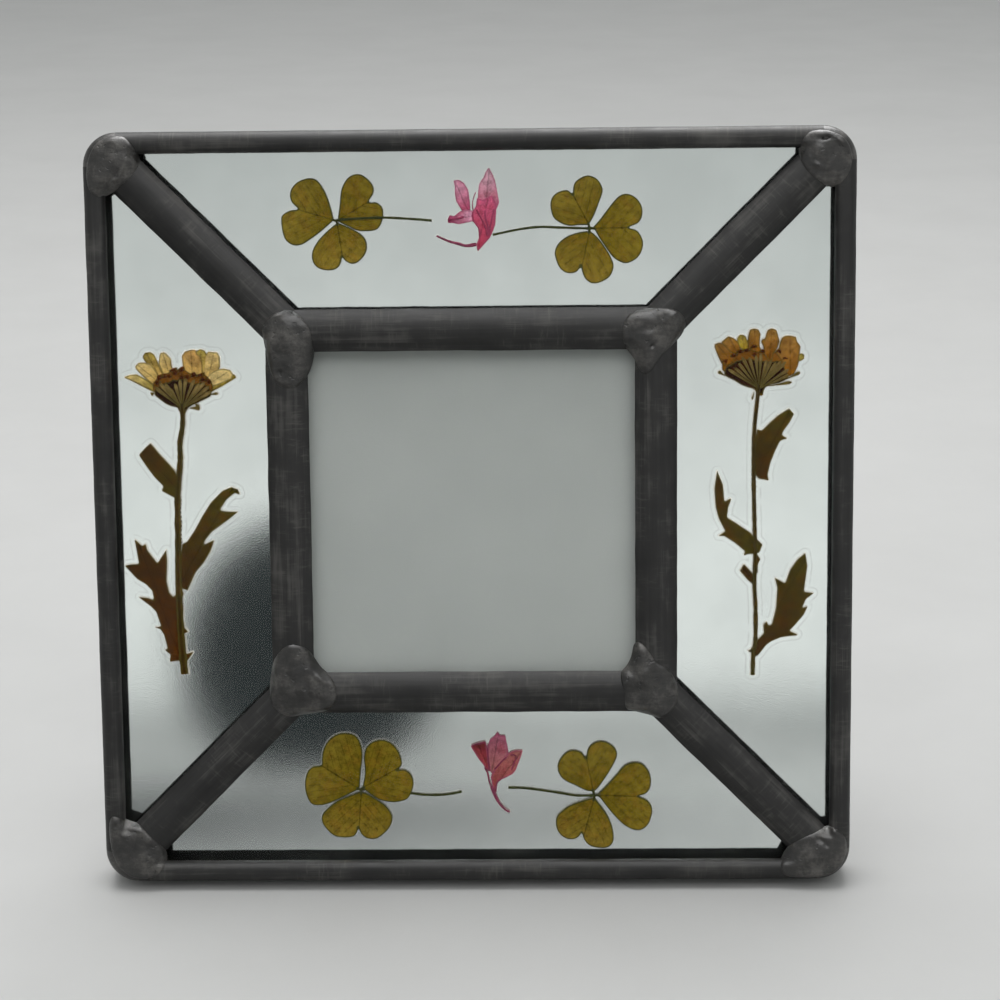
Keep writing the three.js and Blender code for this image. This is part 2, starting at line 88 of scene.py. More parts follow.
# Plan and section of the cames.
FRAME_HALF = 57.15
CORNER_CENTRE = 52.15
CORNER_RADIUS = 5.0
CHANNEL_HALF = 2.5
CROWN = 3.9
WIDE_HALF = 3.175
OVAL_HALF = 4.14
HEART_HALF = 0.6
OUTER_WIDTH = 3.2
OUTER_WALL = 0.8
OUTER_ROUNDING = 1.45
OUTER_LINE = FRAME_HALF - OUTER_WIDTH / 2
WINDOW_LINE = 27.6
DIAGONAL_FROM = 39.0
DIAGONAL_TO = 74.5
DIAGONAL_SEEN_FROM = 40.2
CHANNEL_DEPTH = 5.0
CUTTER_LENGTH = 200.0
RING_SPACING = 1.5

# Points that a rounded outline gets for each one drawn.
LOOP_STEPS = 3

# Hand-made unevenness: its depth and the size of its waves.
CAME_WOBBLE = (0.14, 4.0)
OUTER_WOBBLE = (0.12, 5.0)
WOBBLE_SHIFT = 37.0

# Solder joints: the voxel they are worked in, their lip, and the dome inside it.
SOLDER_GRAIN = 0.22
BEAD_RAW = 1.8
BEAD_LEAST = 0.15
LIP_BREADTH = 1.1
LIP_HEIGHT = 0.3
FILLET = 2.0
DOME_RISE = 1.25
DOME_REACH = 3.0
LUMP_HEIGHT = 0.22
REAR_OUTER_JOINT = {"radius": 4.8, "swell": 0.5}
REAR_WINDOW_JOINT = {"centre": 30.4, "radius": 3.7, "swell": 0.55}

# Dried plants and the film over them.
RAW_THICKNESS = 0.5
DRY_THICKNESS = 0.12
LEAF_GRAIN = 0.13
CRINKLE_SIZE = 1.6
STALK_SPACING = 0.3
STALK_THICKNESS = 0.34
LOWER_CUP_GROWTH = (0.74, 0.94)
FLORET_SIZE = (0.5, 0.3, 0.12)
FILM_GRAIN = 0.16
FILM_LEVEL = -0.36
FILM_HALF = 0.01

# How the lit scene changes a plant's own colours.
STUDIO_DARKENING = 1.85
GLASS_VEIL = 0.004

# Half-widths along a bract, at shares of its length.
BRACT_PROFILE = ((0, 0.2), (0.3, 0.34), (0.6, 0.65), (0.84, 1.0), (0.96, 0.6))

# Camera, floor and light, in metres. The sky has a colour at two heights, 0 being level and 1 overhead.
CAMERA_PLACE = (0.0121, -0.3477, 0.1836)
CAMERA_DEGREES = (69.79, 0.81, 1.05)
CAMERA_LENS = 86.4
FLOOR_RADIUS = 6
FLOOR_CENTRE_Y = 4.4
SKY = ((0.05, (0.83, 0.845, 0.83)), (0.3, (0.36, 0.37, 0.37)))
SHADE_RADIUS = 0.29
SHADE_PLACE = (-0.135, -0.15, 0.0004)
CARD_RADIUS = 0.0415

# The line on which the dark card is seen, from the mirror to the card, in flat millimetres.
CARD_SEEN_AT = (-24, -21, 0)
CARD_PLACE = (-62, -96, 360)

# Soft lights: name, place, size, power, and whether they light rough surfaces too.
SOFT_LIGHTS = (
    ("overhead_softbox", (-0.05, 0.17, 0.8), 0.6, 4.2, True),
    ("front_softbox", (0.0, -0.35, 0.7), 0.6, 0.4, True),
    ("sheen_softbox", (0.12, 0.32, 0.6), 0.45, 4.0, False),
    ("sheen_softbox", (0.05, -0.16, 0.6), 0.8, 3.2, False),
)

# Sides and corners, in the order in which quarter turns reach them.
SIDES = ("top", "left", "bottom", "right")
CORNERS = ("top_right", "top_left", "bottom_left", "bottom_right")

# A quarter turn, and the turn that lays a cylinder along x.
QUARTER = math.pi / 2
ALONG_X = (0, QUARTER, 0)

# Colours of the dried plants, as seen, 0 to 255.
CLOVER_HEART = (78, 66, 18)
CLOVER_GREEN = ((98, 84, 31), (95, 81, 27), (99, 83, 31))
CLOVER_RUSSET = (100, 72, 26)
CLOVER_RIM = (46, 50, 30)
STALK_DARK = (34, 32, 22)
CUP_DARK = (34, 22, 9)
CUP_BROWN = (92, 58, 22)
BRACT_OLIVE = (88, 73, 40)
BRACT_TIP = (124, 102, 62)
RUST_DARK = (58, 30, 12)
RUST = (94, 54, 20)
PETAL_TAN = (172, 149, 98)
PETAL_AMBER = (150, 122, 66)
PETAL_ORANGE = (156, 120, 70)
PETAL_OLIVE = (132, 116, 54)
PETAL_YELLOW = (134, 110, 30)
PETAL_RUSSET = (104, 64, 18)
PETAL_BROWN = (120, 88, 42)
PETAL_RIM = (62, 56, 28)
PINK_PALE = (180, 130, 150)
PINK_GREY = (180, 146, 158)
PINK_ROSE = (160, 74, 100)
PINK_DEEP = (144, 52, 80)
PINK_CRIMSON = (126, 40, 54)
PINK_MAGENTA = (116, 26, 60)
PINK_RIM = (116, 56, 78)
ROSE_DUSTY = (134, 82, 78)
ROSE_MAUVE = (126, 70, 88)
ROSE_DEEP = (122, 56, 56)
ROSE_DARK = (84, 34, 34)
LEAF_OLIVE = (54, 47, 19)
LEAF_BROWN = (48, 33, 9)
LEAF_ORANGE = (58, 34, 9)
LEAF_RUSSET = (66, 38, 11)
STEM_BROWN = (46, 34, 15)
STEM_OLIVE = (42, 37, 21)
STEM_MAROON = (36, 15, 9)

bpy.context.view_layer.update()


def middle_of(node):
    low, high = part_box(node)
    return (Vector(low) + Vector(high)) / 2


FLAT_TO_FRAME = (
    Matrix.Translation(middle_of("insert_card"))
    @ Matrix.Rotation(math.pi / 2 - LEAN, 4, "X")
    @ Matrix.Scale(MM, 4)
)
HINGE_TO_FRAME = (
    FLAT_TO_FRAME @ Matrix.Translation(HINGE_PLACE) @ Matrix.Rotation(STRUT_OPENING, 4, "X")
)


# ---------------------------------------------------------------- shader maths

class Value:
    """A number from a shader socket. Maths on it adds Math nodes."""

    def __init__(self, finish, socket):
        self.finish = finish
        self.socket = socket

    def math(self, operation, *others):
        values = dict(enumerate((self, *others)))
        return self.finish.node("ShaderNodeMath", {"operation": operation}, values)

    def __add__(self, other):
        return self.math("ADD", other)

    def __sub__(self, other):
        return self.math("SUBTRACT", other)

    def __mul__(self, other):
        return self.math("MULTIPLY", other)

    def __rsub__(self, other):
        return (self * -1) + other

    def above(self, low, high):
        """0 below low, 1 above high, smooth between."""
        settings = {"interpolation_type": "SMOOTHSTEP"}
        return self.finish.node("ShaderNodeMapRange", settings, {0: self, "From Min": low, "From Max": high})


class Finish:
    """A material on one Principled shader, in flat millimetres."""

    def __init__(self, name, constants=None):
        self.material = bpy.data.materials.new(name)
        self.material.use_nodes = True
        self.tree = self.material.node_tree
        self.shader = self.tree.nodes["Principled BSDF"]
        for socket, value in (constants or {}).items():
            self.shader.inputs[socket].default_value = value

    def node(self, kind, settings=None, inputs=None, output=0):
        made = self.tree.nodes.new(kind)
        for setting, value in (settings or {}).items():
            if setting == "stops":
                self._stops(made.color_ramp, value)
            else:
                setattr(made, setting, value)
        for socket, value in (inputs or {}).items():
            self.feed(made.inputs[socket], value)
        return Value(self, made.outputs[output])

    def _stops(self, ramp, stops):
        for index, (position, colour) in enumerate(stops):
            stop = ramp.elements[index] if index < 2 else ramp.elements.new(position)
            stop.position = position
            stop.color = (*colour, 1)

    def feed(self, socket, value):
        if isinstance(value, Value):
            self.tree.links.new(value.socket, socket)
        else:
            socket.default_value = value

    def flat(self):
        """The point in flat millimetres, worked back from the leant object."""
        back = FLAT_TO_FRAME.inverted()
        point = self.node("ShaderNodeTexCoord", output="Object")
        inputs = {
            "Vector": point,
            "Location": back.translation,
            "Rotation": back.to_euler(),
            "Scale": (1 / MM, 1 / MM, 1 / MM),
        }
        return self.node("ShaderNodeMapping", {}, inputs)

    def uv(self):
        return self.node("ShaderNodeTexCoord", output="UV")

    def stretch(self, point, scale):
        return self.node("ShaderNodeMapping", {}, {"Vector": point, "Scale": scale})

    def parts(self, point):
        made = self.node("ShaderNodeSeparateXYZ", {}, {0: point})
        return [Value(self, socket) for socket in made.socket.node.outputs]

    def noise(self, point, scale, detail, roughness):
        values = {"Vector": point, "Scale": scale, "Detail": detail, "Roughness": roughness}
        return self.node("ShaderNodeTexNoise", {}, values)

    def attribute(self, name, output="Fac"):
        return self.node("ShaderNodeAttribute", {"attribute_name": name}, output=output)

    def blend(self, factor, first, second, way="MIX"):
        settings = {"data_type": "RGBA", "blend_type": way}
        values = {0: factor, 6: colour(first), 7: colour(second)}
        return self.node("ShaderNodeMix", settings, values, output=2)

    def ramp(self, value, *stops):
        return self.node("ShaderNodeValToRGB", {"stops": stops}, {0: value})

    def set(self, socket, value):
        self.feed(self.shader.inputs[socket], value)

    def bump(self, height, distance):
        """A bump of the given depth in millimetres."""
        values = {"Height": height, "Distance": distance * MM}
        self.set("Normal", self.node("ShaderNodeBump", {}, values))


def colour(value):
    """A shader value as it is, or a plain colour with full alpha."""
    return value if isinstance(value, Value) else (*value, 1)


# ---------------------------------------------------------------- modelling helpers

def select_only(*pieces):
    bpy.ops.object.select_all(action="DESELECT")
    for piece in pieces:
        piece.select_set(True)
    bpy.context.view_layer.objects.active = pieces[0]


def fix(piece):
    """Puts the piece's place, turn and scale into its mesh."""
    select_only(piece)
    bpy.ops.object.transform_apply(location=True, rotation=True, scale=True)
    return piece


def pick(piece, kind, test):
    """Goes into edit mode with what passes the test selected, by middle and by normal or direction."""
    select_only(piece)
    bpy.ops.object.mode_set(mode="EDIT")
    bpy.ops.mesh.select_mode(type=kind)
    bpy.ops.mesh.select_all(action="DESELECT")
    bpy.ops.object.mode_set(mode="OBJECT")
    places = [vertex.co for vertex in piece.data.vertices]
    if kind == "EDGE":
        for edge in piece.data.edges:
            start, end = (places[index] for index in edge.vertices)
            edge.select = test((start + end) / 2, (end - start).normalized())
    elif kind == "FACE":
        for face in piece.data.polygons:
            face.select = test(face.center, face.normal)
    else:
        for vertex in piece.data.vertices:
            vertex.select = test(vertex.co, vertex.normal)
    bpy.ops.object.mode_set(mode="EDIT")


def object_mode():
    bpy.ops.object.mode_set(mode="OBJECT")


def modify(piece, kind, **settings):
    """Adds a modifier and applies it."""
    select_only(piece)
    modifier = piece.modifiers.new(kind.title(), kind)
    for setting, value in settings.items():
        setattr(modifier, setting, value)
    bpy.ops.object.modifier_apply(modifier=modifier.name)
    return piece


def box(size, place):
    bpy.ops.object.select_all(action="DESELECT")
    bpy.ops.mesh.primitive_cube_add(size=1, location=place, scale=size)
    return fix(bpy.context.object)


def cylinder(radius, depth, place, turn=(0, 0, 0), sides=32):
    bpy.ops.object.select_all(action="DESELECT")
    bpy.ops.mesh.primitive_cylinder_add(
        vertices=sides, radius=radius, depth=depth, location=place, rotation=turn
    )
    return fix(bpy.context.object)


def ball(radii, place, steps):
    bpy.ops.object.select_all(action="DESELECT")
    bpy.ops.mesh.primitive_uv_sphere_add(segments=2 * steps, ring_count=steps, location=place, scale=radii)
    return fix(bpy.context.object)


def slab(outline, level, thickness):
    """A flat solid with the given outline, standing on a level."""
    bpy.ops.object.select_all(action="DESELECT")
    bpy.ops.mesh.primitive_circle_add(vertices=len(outline), radius=1, fill_type="NGON")
    piece = bpy.context.object
    for vertex, place in zip(piece.data.vertices, outline):
        vertex.co = (*place, level)
    pick(piece, "FACE", lambda place, normal: True)
    bpy.ops.mesh.extrude_region_move(TRANSFORM_OT_translate={"value": (0, 0, thickness)})
    bpy.ops.mesh.select_all(action="SELECT")
    bpy.ops.mesh.normals_make_consistent(inside=False)
    object_mode()
    return piece


def along_x(place, direction):
    """Whether an edge runs along x."""
    return abs(direction.x) > 0.9


def along_z(place, direction):
    """Whether an edge runs along z."""
    return abs(direction.z) > 0.9


def divide_lengthwise(piece, cuts):
    """Cuts the edges along x into equal parts."""
    pick(piece, "EDGE", along_x)
    bpy.ops.mesh.subdivide(number_cuts=cuts)
    object_mode()


def round_edges(piece, test, offset, segments):
    """Rounds the edges that pass the test."""
    pick(piece, "EDGE", test)
    bpy.ops.mesh.bevel(offset=offset, segments=segments, profile=0.5)
    object_mode()


def soften(piece, width, segments=2, angle=60):
    """Rounds every edge that is sharper than the angle."""
    settings = {"limit_method": "ANGLE", "angle_limit": math.radians(angle)}
    return modify(piece, "BEVEL", width=width, segments=segments, **settings)


def cut_away(piece, cutter, way="DIFFERENCE"):
    """Cuts with another solid, or unites with it. The other solid is used up."""
    modify(piece, "BOOLEAN", object=cutter, operation=way, solver="MANIFOLD")
    bpy.data.objects.remove(cutter)
    return piece


def slice_off(piece, point, normal):
    """Removes what lies past a plane and closes the cut."""
    pick(piece, "VERT", lambda place, direction: True)
    bpy.ops.mesh.bisect(plane_co=point, plane_no=normal, use_fill=True, clear_outer=True)
    object_mode()


def join(pieces):
    select_only(*pieces)
    bpy.ops.object.join()
    return bpy.context.object


def roughen(piece, depth, size, seed):
    """Moves the surface in and out by a soft cloud pattern of the given size, its own for each seed."""
    clouds = bpy.data.textures.new("hand-worked surface", "CLOUDS")
    clouds.noise_scale = size
    shift = Matrix.Translation((0, 0, seed * WOBBLE_SHIFT))
    piece.data.transform(shift)
    modify(piece, "DISPLACE", texture=clouds, strength=depth, texture_coords="LOCAL")
    piece.data.transform(shift.inverted())


def smooth_shading(piece, angle=35):
    select_only(piece)
    bpy.ops.object.shade_smooth_by_angle(angle=math.radians(angle))


def turned(piece, angle):
    """Turns a drawn piece about the middle of the frame."""
    piece.data.transform(Matrix.Rotation(angle, 4, "Z"))
    return piece


def lay_uv(piece, along):
    """A UV map in millimetres: u along the given direction, v across it and down the sides."""
    layer = piece.data.uv_layers.active or piece.data.uv_layers.new(name="along")
    back = Matrix.Rotation(-along, 3, "Z")
    places = [back @ vertex.co for vertex in piece.data.vertices]
    for loop in piece.data.loops:
        place = places[loop.vertex_index]
        layer.data[loop.index].uv = (place.x, place.y + 0.6 * place.z)


def settle(piece, name, nodes, slot, finish, body="frame", place=FLAT_TO_FRAME):
    """Names a finished piece, moves it to its place and hides the parts that it stands for."""
    piece.name = name
    piece.data.name = name
    piece.data.transform(place)
    piece.data.materials.clear()
    piece.data.materials.append(finish.material)
    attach(piece, body)
    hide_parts(*nodes)


# ---------------------------------------------------------------- finishes

def came_finish():
    """Lead came under a dark patina: drawn lengthwise, rubbed lighter here and there."""
    finish = Finish("dark came patina", {"Metallic": 0.0, "IOR": 1.5})
    along = finish.uv()
    drawn = finish.noise(finish.stretch(along, (0.04, 1.1, 1)), 1.0, 4, 0.6)
    fine = finish.noise(finish.stretch(along, (0.2, 9.0, 1)), 1.0, 3, 0.6)
    cloud = finish.noise(finish.flat(), 0.14, 3, 0.6)
    rubs = finish.noise(finish.stretch(along, (2.2, 0.3, 1)), 1.0, 3, 0.6)
    tone = drawn * 0.35 + fine * 0.2 + cloud * 0.45
    base = finish.ramp(tone, (0.38, (0.004, 0.0038, 0.0036)), (0.51, (0.014, 0.0134, 0.0126)),
                       (0.64, (0.070, 0.067, 0.062)))
    marks = rubs.above(0.5, 0.72) * cloud.above(0.42, 0.6) * 0.45
    finish.set("Base Color", finish.blend(marks, base, (0.085, 0.080, 0.072)))
    finish.set("Roughness", fine * 0.3 + cloud * 0.3 + 0.26)
    finish.bump(drawn * 0.5 + fine * 0.3 + rubs * 0.2, 0.05)
    return finish


def solder_finish():
    """Solder under the same patina, browner and blotchy."""
    finish = Finish("patinated solder", {"Metallic": 0.0, "IOR": 1.6})
    point = finish.flat()
    cloud = finish.noise(point, 0.28, 4, 0.6)
    grain = finish.noise(point, 2.4, 4, 0.65)
    smear = finish.noise(finish.stretch(point, (0.5, 2.5, 1)), 1.0, 3, 0.6)
    pits = finish.noise(point, 1.3, 1, 0.4)
    base = finish.ramp(cloud * 0.66 + grain * 0.2 + smear * 0.14, (0.38, (0.009, 0.0083, 0.0076)),
                       (0.50, (0.026, 0.0241, 0.0218)), (0.66, (0.105, 0.098, 0.089)))
    pitted = pits.above(0.66, 0.72)
    finish.set("Base Color", finish.blend(pitted * 0.5, base, (0.01, 0.009, 0.008)))
    finish.set("Roughness", grain * 0.2 + cloud * 0.15 + 0.22)
    finish.bump(grain * 0.35 + cloud * 0.5 + smear * 0.15 - pitted * 0.4, 0.12)
    return finish


def glass_finish():
    return Finish("clear glass", {
        "Base Color": (0.985, 1.0, 0.99, 1),
        "Roughness": 0.0,
        "IOR": 1.12,
        "Specular IOR Level": 0.1,
        "Transmission Weight": 1.0,
    })


def mirror_finish():
    """Silvered pane with a fine satin grain, grey paint behind."""
    finish = Finish("satin mirror")
    point = finish.flat()
    depth = finish.parts(point)[2]
    front = depth.above(-1.5, -1.2)
    grain = finish.noise(point, 4.5, 3, 0.7)
    cloud = finish.noise(point, 0.08, 3, 0.5)
    silver = finish.ramp(cloud, (0.35, (0.78, 0.80, 0.80)), (0.65, (0.84, 0.86, 0.86)))
    mottle = finish.noise(point, 0.4, 4, 0.6)
    paint = finish.ramp(mottle, (0.3, (0.10, 0.105, 0.11)), (0.7, (0.15, 0.155, 0.16)))
    finish.set("Base Color", finish.blend(front, paint, silver))
    finish.set("Metallic", front)
    finish.set("Roughness", 0.6 - front * 0.53)
    finish.bump(grain, 0.0027)
    return finish


def card_finish():
    finish = Finish("plain card", {"Specular IOR Level": 0.1})
    point = finish.flat()
    fibres = finish.noise(finish.stretch(point, (1.0, 1.6, 1.0)), 2.0, 5, 0.7)
    cloud = finish.noise(point, 0.07, 2, 0.5)
    finish.set("Base Color", finish.ramp(fibres * 0.3 + cloud * 0.7, (0.3, (0.38, 0.392, 0.38)),
                                         (0.7, (0.415, 0.427, 0.415))))
    finish.set("Roughness", 0.75)
    finish.bump(fibres, 0.02)
    return finish


def dye(*seen):
    """A colour as seen on the lit plants through their glass, 0 to 255, made into a surface colour."""
    linear = [((channel / 255 + 0.055) / 1.055) ** 2.4 for channel in seen]
    return tuple(min(max(channel - GLASS_VEIL, 0.002) * STUDIO_DARKENING, 0.95) for channel in linear)


def plant_finish(name, rim_seen, rim_share, rim_depth, vein_shade, vein_step, patch_seen):
    """Dried plant: its own dyes, mottled and patchy, with a dark rim, a midrib and slanting side veins."""
    finish = Finish(name, {"Roughness": 0.7, "Specular IOR Level": 0.03})
    tint = finish.attribute("tint", "Color")
    clearness = finish.attribute("tint", "Alpha")
    along, across, rim = finish.parts(finish.attribute("grain", "Vector"))
    side = across.math("ABSOLUTE")
    point = finish.flat()
    mottle = finish.noise(point, 0.9, 4, 0.6)
    speckle = finish.noise(point, 5.0, 3, 0.7)
    patches = finish.noise(point, 0.5, 3, 0.6)
    edge = 1 - rim.above(rim_depth * 0.4, rim_depth)
    midrib = 1 - side.above(0.03, 0.16)
    slant = (along - side * 1.1 + mottle * 0.6) * (1 / vein_step)
    wave = slant.math("FRACT").math("PINGPONG", 0.5) * 2
    vein = (1 - wave.above(0.0, 0.25)) * rim.above(0.2, 0.8) * speckle.above(0.35, 0.5)
    shade = 1.36 - mottle.above(0.36, 0.64) * 0.4 - speckle.above(0.34, 0.66) * 0.3
    shade = (shade - midrib * vein_shade - vein * vein_shade * 0.7).math("MAXIMUM", 0.15)
    grey = finish.node("ShaderNodeCombineXYZ", {}, {0: shade, 1: shade, 2: shade})
    patched = finish.blend(patches.above(0.48, 0.62) * 0.35, tint, dye(*patch_seen))
    shaded = finish.blend(1.0, patched, grey, "MULTIPLY")
    finish.set("Base Color", finish.blend(edge * rim_share, shaded, dye(*rim_seen)))
    finish.set("Alpha", clearness + edge * 0.3)
    finish.bump(mottle * 0.4 + speckle * 0.2 - midrib * 0.6 - vein * 0.3, 0.06)
    return finish


def film_finish(name, painted_glow, fold_shade_share):
    """Clear film lifted round a plant: milky next to it, where a warm emission paints a glow, and a faint
    grey line of painted shade at a fold further out.
    """
    # The warm emission is painted glow: the milky halo round each plant shines though no lamp lights it.
    finish = Finish(name, {
        "Roughness": 0.4,
        "Metallic": 0.3,
        "Emission Color": (1, 0.93, 0.82, 1),
        "Emission Strength": 0.12,
    })
    away = finish.attribute("away")
    milky_glow = (1 - away.above(0.08, 0.28)) * painted_glow
    # The grey line at the film's fold is painted shade.
    fold_shade = away.above(0.5, 0.75) * (1 - away.above(0.75, 1.0))
    breaks = finish.noise(finish.flat(), 0.35, 2, 0.5).above(0.35, 0.5)
    finish.set("Alpha", milky_glow + fold_shade * breaks * fold_shade_share)
    # Cream for the milky halo that carries the painted glow, grey for the painted shade at the fold.
    finish.set("Base Color", finish.blend(fold_shade, (1.0, 0.95, 0.86), (0.22, 0.24, 0.25)))
    return finish


def velvet_finish():
    """Black flock on board."""
    finish = Finish("black flock", {"Sheen Weight": 0.5, "Sheen Roughness": 0.4})
    point = finish.flat()
    pile = finish.noise(point, 6.0, 3, 0.7)
    lay = finish.noise(finish.stretch(point, (1.0, 0.4, 1.0)), 0.35, 4, 0.6)
    finish.set("Base Color", finish.ramp(pile * 0.4 + lay * 0.6, (0.35, (0.010, 0.010, 0.012)),
                                         (0.65, (0.035, 0.034, 0.038))))
    finish.set("Roughness", 0.9)
    finish.bump(pile, 0.12)
    return finish


def steel_finish():
    finish = Finish("brushed nickel", {"Metallic": 1.0})
    point = finish.flat()
    brushed = finish.noise(finish.stretch(point, (0.3, 8.0, 4.0)), 1.0, 3, 0.6)
    cloud = finish.noise(point, 0.5, 3, 0.6)
    finish.set("Base Color", finish.ramp(cloud, (0.3, (0.42, 0.41, 0.39)), (0.7, (0.6, 0.59, 0.57))))
    finish.set("Roughness", brushed * 0.25 + 0.22)
    finish.bump(brushed, 0.02)
    return finish


# ---------------------------------------------------------------- cames

def came_rod(length):
    """An oval rod along x, ringed closely enough to be worked by hand."""
    rod = cylinder(1, length, (0, 0, 0), ALONG_X, sides=40)
    rod.data.transform(Matrix.Diagonal((1, OVAL_HALF, CROWN, 1)))
    divide_lengthwise(rod, int(length / RING_SPACING))
    return rod


def finish_came(came, name, node, along):
    lay_uv(came, along)
    smooth_shading(came)
    settle(came, name, [node], "came_metal", CAME)


def channel(side, back):
    """A cutter for one side of a rod lying along x: the room for a pane, or for all behind it."""
    size = (CUTTER_LENGTH, CHANNEL_DEPTH, CHANNEL_HALF - back)
    return box(size, (0, side * (HEART_HALF + CHANNEL_DEPTH / 2), (CHANNEL_HALF + back) / 2))


def window_came(index, side):
    """A came beside the window: a channel for the panel outside and an open step inside."""
    rod = came_rod(2 * (WINDOW_LINE + WIDE_HALF))
    roughen(rod, *CAME_WOBBLE, index)
    cut_away(rod, channel(1, -CHANNEL_HALF))
    cut_away(rod, channel(-1, -2 * CROWN))
    rod.data.transform(Matrix.Translation((0, WINDOW_LINE, 0)))
    for end in (-1, 1):
        slice_off(rod, (end * WINDOW_LINE, WINDOW_LINE, 0), (end, -1, 0))
    turned(rod, index * QUARTER)
    finish_came(rod, f"window_came_{side}_lead", f"window_came_{side}", index * QUARTER)


def diagonal_came(index, corner):
    rod = came_rod(DIAGONAL_TO - DIAGONAL_FROM)
    roughen(rod, *CAME_WOBBLE, index + 4)
    for side in (-1, 1):
        cut_away(rod, channel(side, -CHANNEL_HALF))
    rod.data.transform(Matrix.Translation(((DIAGONAL_FROM + DIAGONAL_TO) / 2, 0, 0)))
    slice_off(rod, (DIAGONAL_SEEN_FROM, 0, 0), (-1, 0, 0))
    angle = (index + 0.5) * QUARTER
    turned(rod, angle)
    finish_came(rod, f"diagonal_came_{corner}_lead", f"diagonal_came_{corner}", angle)


def pane_room():
    """A cutter as large as the room inside the outer cames, rounded like their corners."""
    half = FRAME_HALF - OUTER_WALL
    room = box((2 * half, 2 * half, 2 * CHANNEL_HALF), (0, 0, 0))
    round_edges(room, along_z, CORNER_RADIUS - OUTER_WALL, 10)
    return room


def outer_came(index, side):
    """A straight bar with rounded edges, drawn along the top."""
    bar = box((2 * CORNER_CENTRE, OUTER_WIDTH, 2 * CROWN), (0, OUTER_LINE, 0))
    round_edges(bar, along_x, OUTER_ROUNDING, 7)
    divide_lengthwise(bar, cuts=60)
    roughen(bar, *OUTER_WOBBLE, index + 8)
    cut_away(bar, pane_room())
    turned(bar, index * QUARTER)
    finish_came(bar, f"outer_came_{side}_lead", f"outer_came_{side}", index * QUARTER)


# ---------------------------------------------------------------- solder joints

def crown_height(distance, half, sharpness):
    """The height of a came's face at a distance from its middle line."""
    inside = np.clip(1 - (np.abs(distance) / half) ** sharpness, 0, 1)
    return CROWN * inside ** (1 / sharpness)


def came_height(places):
    """How high the cames stand at each place, seen from the middle of the panels."""
    x, y = np.abs(places[:, 0]), np.abs(places[:, 1])
    far, near = np.maximum(x, y), np.minimum(x, y)
    beside_window = crown_height(far - WINDOW_LINE, OVAL_HALF, 2)
    from_corner = np.hypot(far - WINDOW_LINE, near - WINDOW_LINE)
    across = np.where(x + y > 2 * WINDOW_LINE, (far - near) / math.sqrt(2), from_corner)
    diagonal = crown_height(across, OVAL_HALF, 2)
    round_corner = np.hypot(np.maximum(x - CORNER_CENTRE, 0), np.maximum(y - CORNER_CENTRE, 0))
    edge = np.where(near > CORNER_CENTRE, round_corner, far - CORNER_CENTRE)
    middle = OUTER_LINE - CORNER_CENTRE
    filled = np.where(near > CORNER_CENTRE - 2, np.maximum(edge - middle, 0), edge - middle)
    outer = crown_height(filled, OUTER_WIDTH / 2, 3)
    return np.maximum.reduce([beside_window, diagonal, outer, np.full(len(x), CHANNEL_HALF)])


def bead_height(places, outline, swell, seed):
    """Solder over the cames: a rounded lip, then a soft uneven dome that fills the hollows between cames."""
    rim = rim_distance(places, outline)
    lip = np.sqrt(1 - (1 - np.clip(rim / LIP_BREADTH, 0, 1)) ** 2)
    dome = DOME_RISE * (1 - np.exp(-((rim / DOME_REACH) ** 2)))
    below = came_height(places)
    filled = below + (CROWN - below) * np.clip(rim / FILLET, 0, 1) ** 0.7
    lumps = np.array([lump(x, y, seed) for x, y in places])
    return filled + LIP_HEIGHT * lip + swell * dome + LUMP_HEIGHT * lumps * lip


def lump(x, y, seed):
    """The unevenness of a joint at a place: large soft lumps with small ones on them."""
    large = noise.noise(Vector((x, y, seed * 7.3)) / 2.6)
    return large + 0.3 * noise.noise(Vector((x, y, seed * 3.1)))


def press(places, marks):
    """Hand-worked marks: place, length, breadth, direction and depth of each, down or up."""
    change = np.zeros(len(places))
    for (x, y), length, breadth, degrees, depth in marks:
        turn = math.radians(degrees)
        along = (places[:, 0] - x) * math.cos(turn) + (places[:, 1] - y) * math.sin(turn)
        across = (places[:, 1] - y) * math.cos(turn) - (places[:, 0] - x) * math.sin(turn)
        change -= depth * np.exp(-((along / length) ** 2) - (across / breadth) ** 2)
    return change


def bead(outline, swell, marks, seed):
    """A patch of solder with the given outline, laid over the cames' front faces."""
    piece = slab(outline, CHANNEL_HALF, BEAD_RAW)
    modify(piece, "REMESH", mode="VOXEL", voxel_size=SOLDER_GRAIN)
    modify(piece, "SMOOTH", factor=0.5, iterations=3)
    places = points_of(piece)
    height = bead_height(places[:, :2], outline, swell, seed) + press(places[:, :2], marks)
    share = np.clip((places[:, 2] - CHANNEL_HALF) / BEAD_RAW, 0, 1)
    places[:, 2] = CHANNEL_HALF + share * np.maximum(height - CHANNEL_HALF, BEAD_LEAST)
    places[:, :2] = np.clip(places[:, :2], -FRAME_HALF, FRAME_HALF)
    piece.data.vertices.foreach_set("co", places.ravel())
    modify(piece, "SMOOTH", factor=0.3, iterations=2)
    return piece


def corner_body():
    """The rounded outer corner under the solder, drawn for the front at the upper right."""
    body = cylinder(CORNER_RADIUS, CROWN - 0.05, (CORNER_CENTRE, CORNER_CENTRE, CROWN / 2), sides=64)
    round_edges(body, lambda place, direction: place.z > CROWN * 0.9 and abs(direction.z) < 0.1, 1.5, 8)
    into_came = CORNER_CENTRE - 0.4
    slice_off(body, (into_came, 0, 0), (-1, 0, 0))
    slice_off(body, (0, into_came, 0), (0, -1, 0))
    return body


def turn_over(piece):
    """Mirrors a front piece to the back."""
    piece.data.transform(Matrix.Diagonal((1, 1, -1, 1)))
    pick(piece, "FACE", lambda place, normal: True)
    bpy.ops.mesh.flip_normals()
    object_mode()


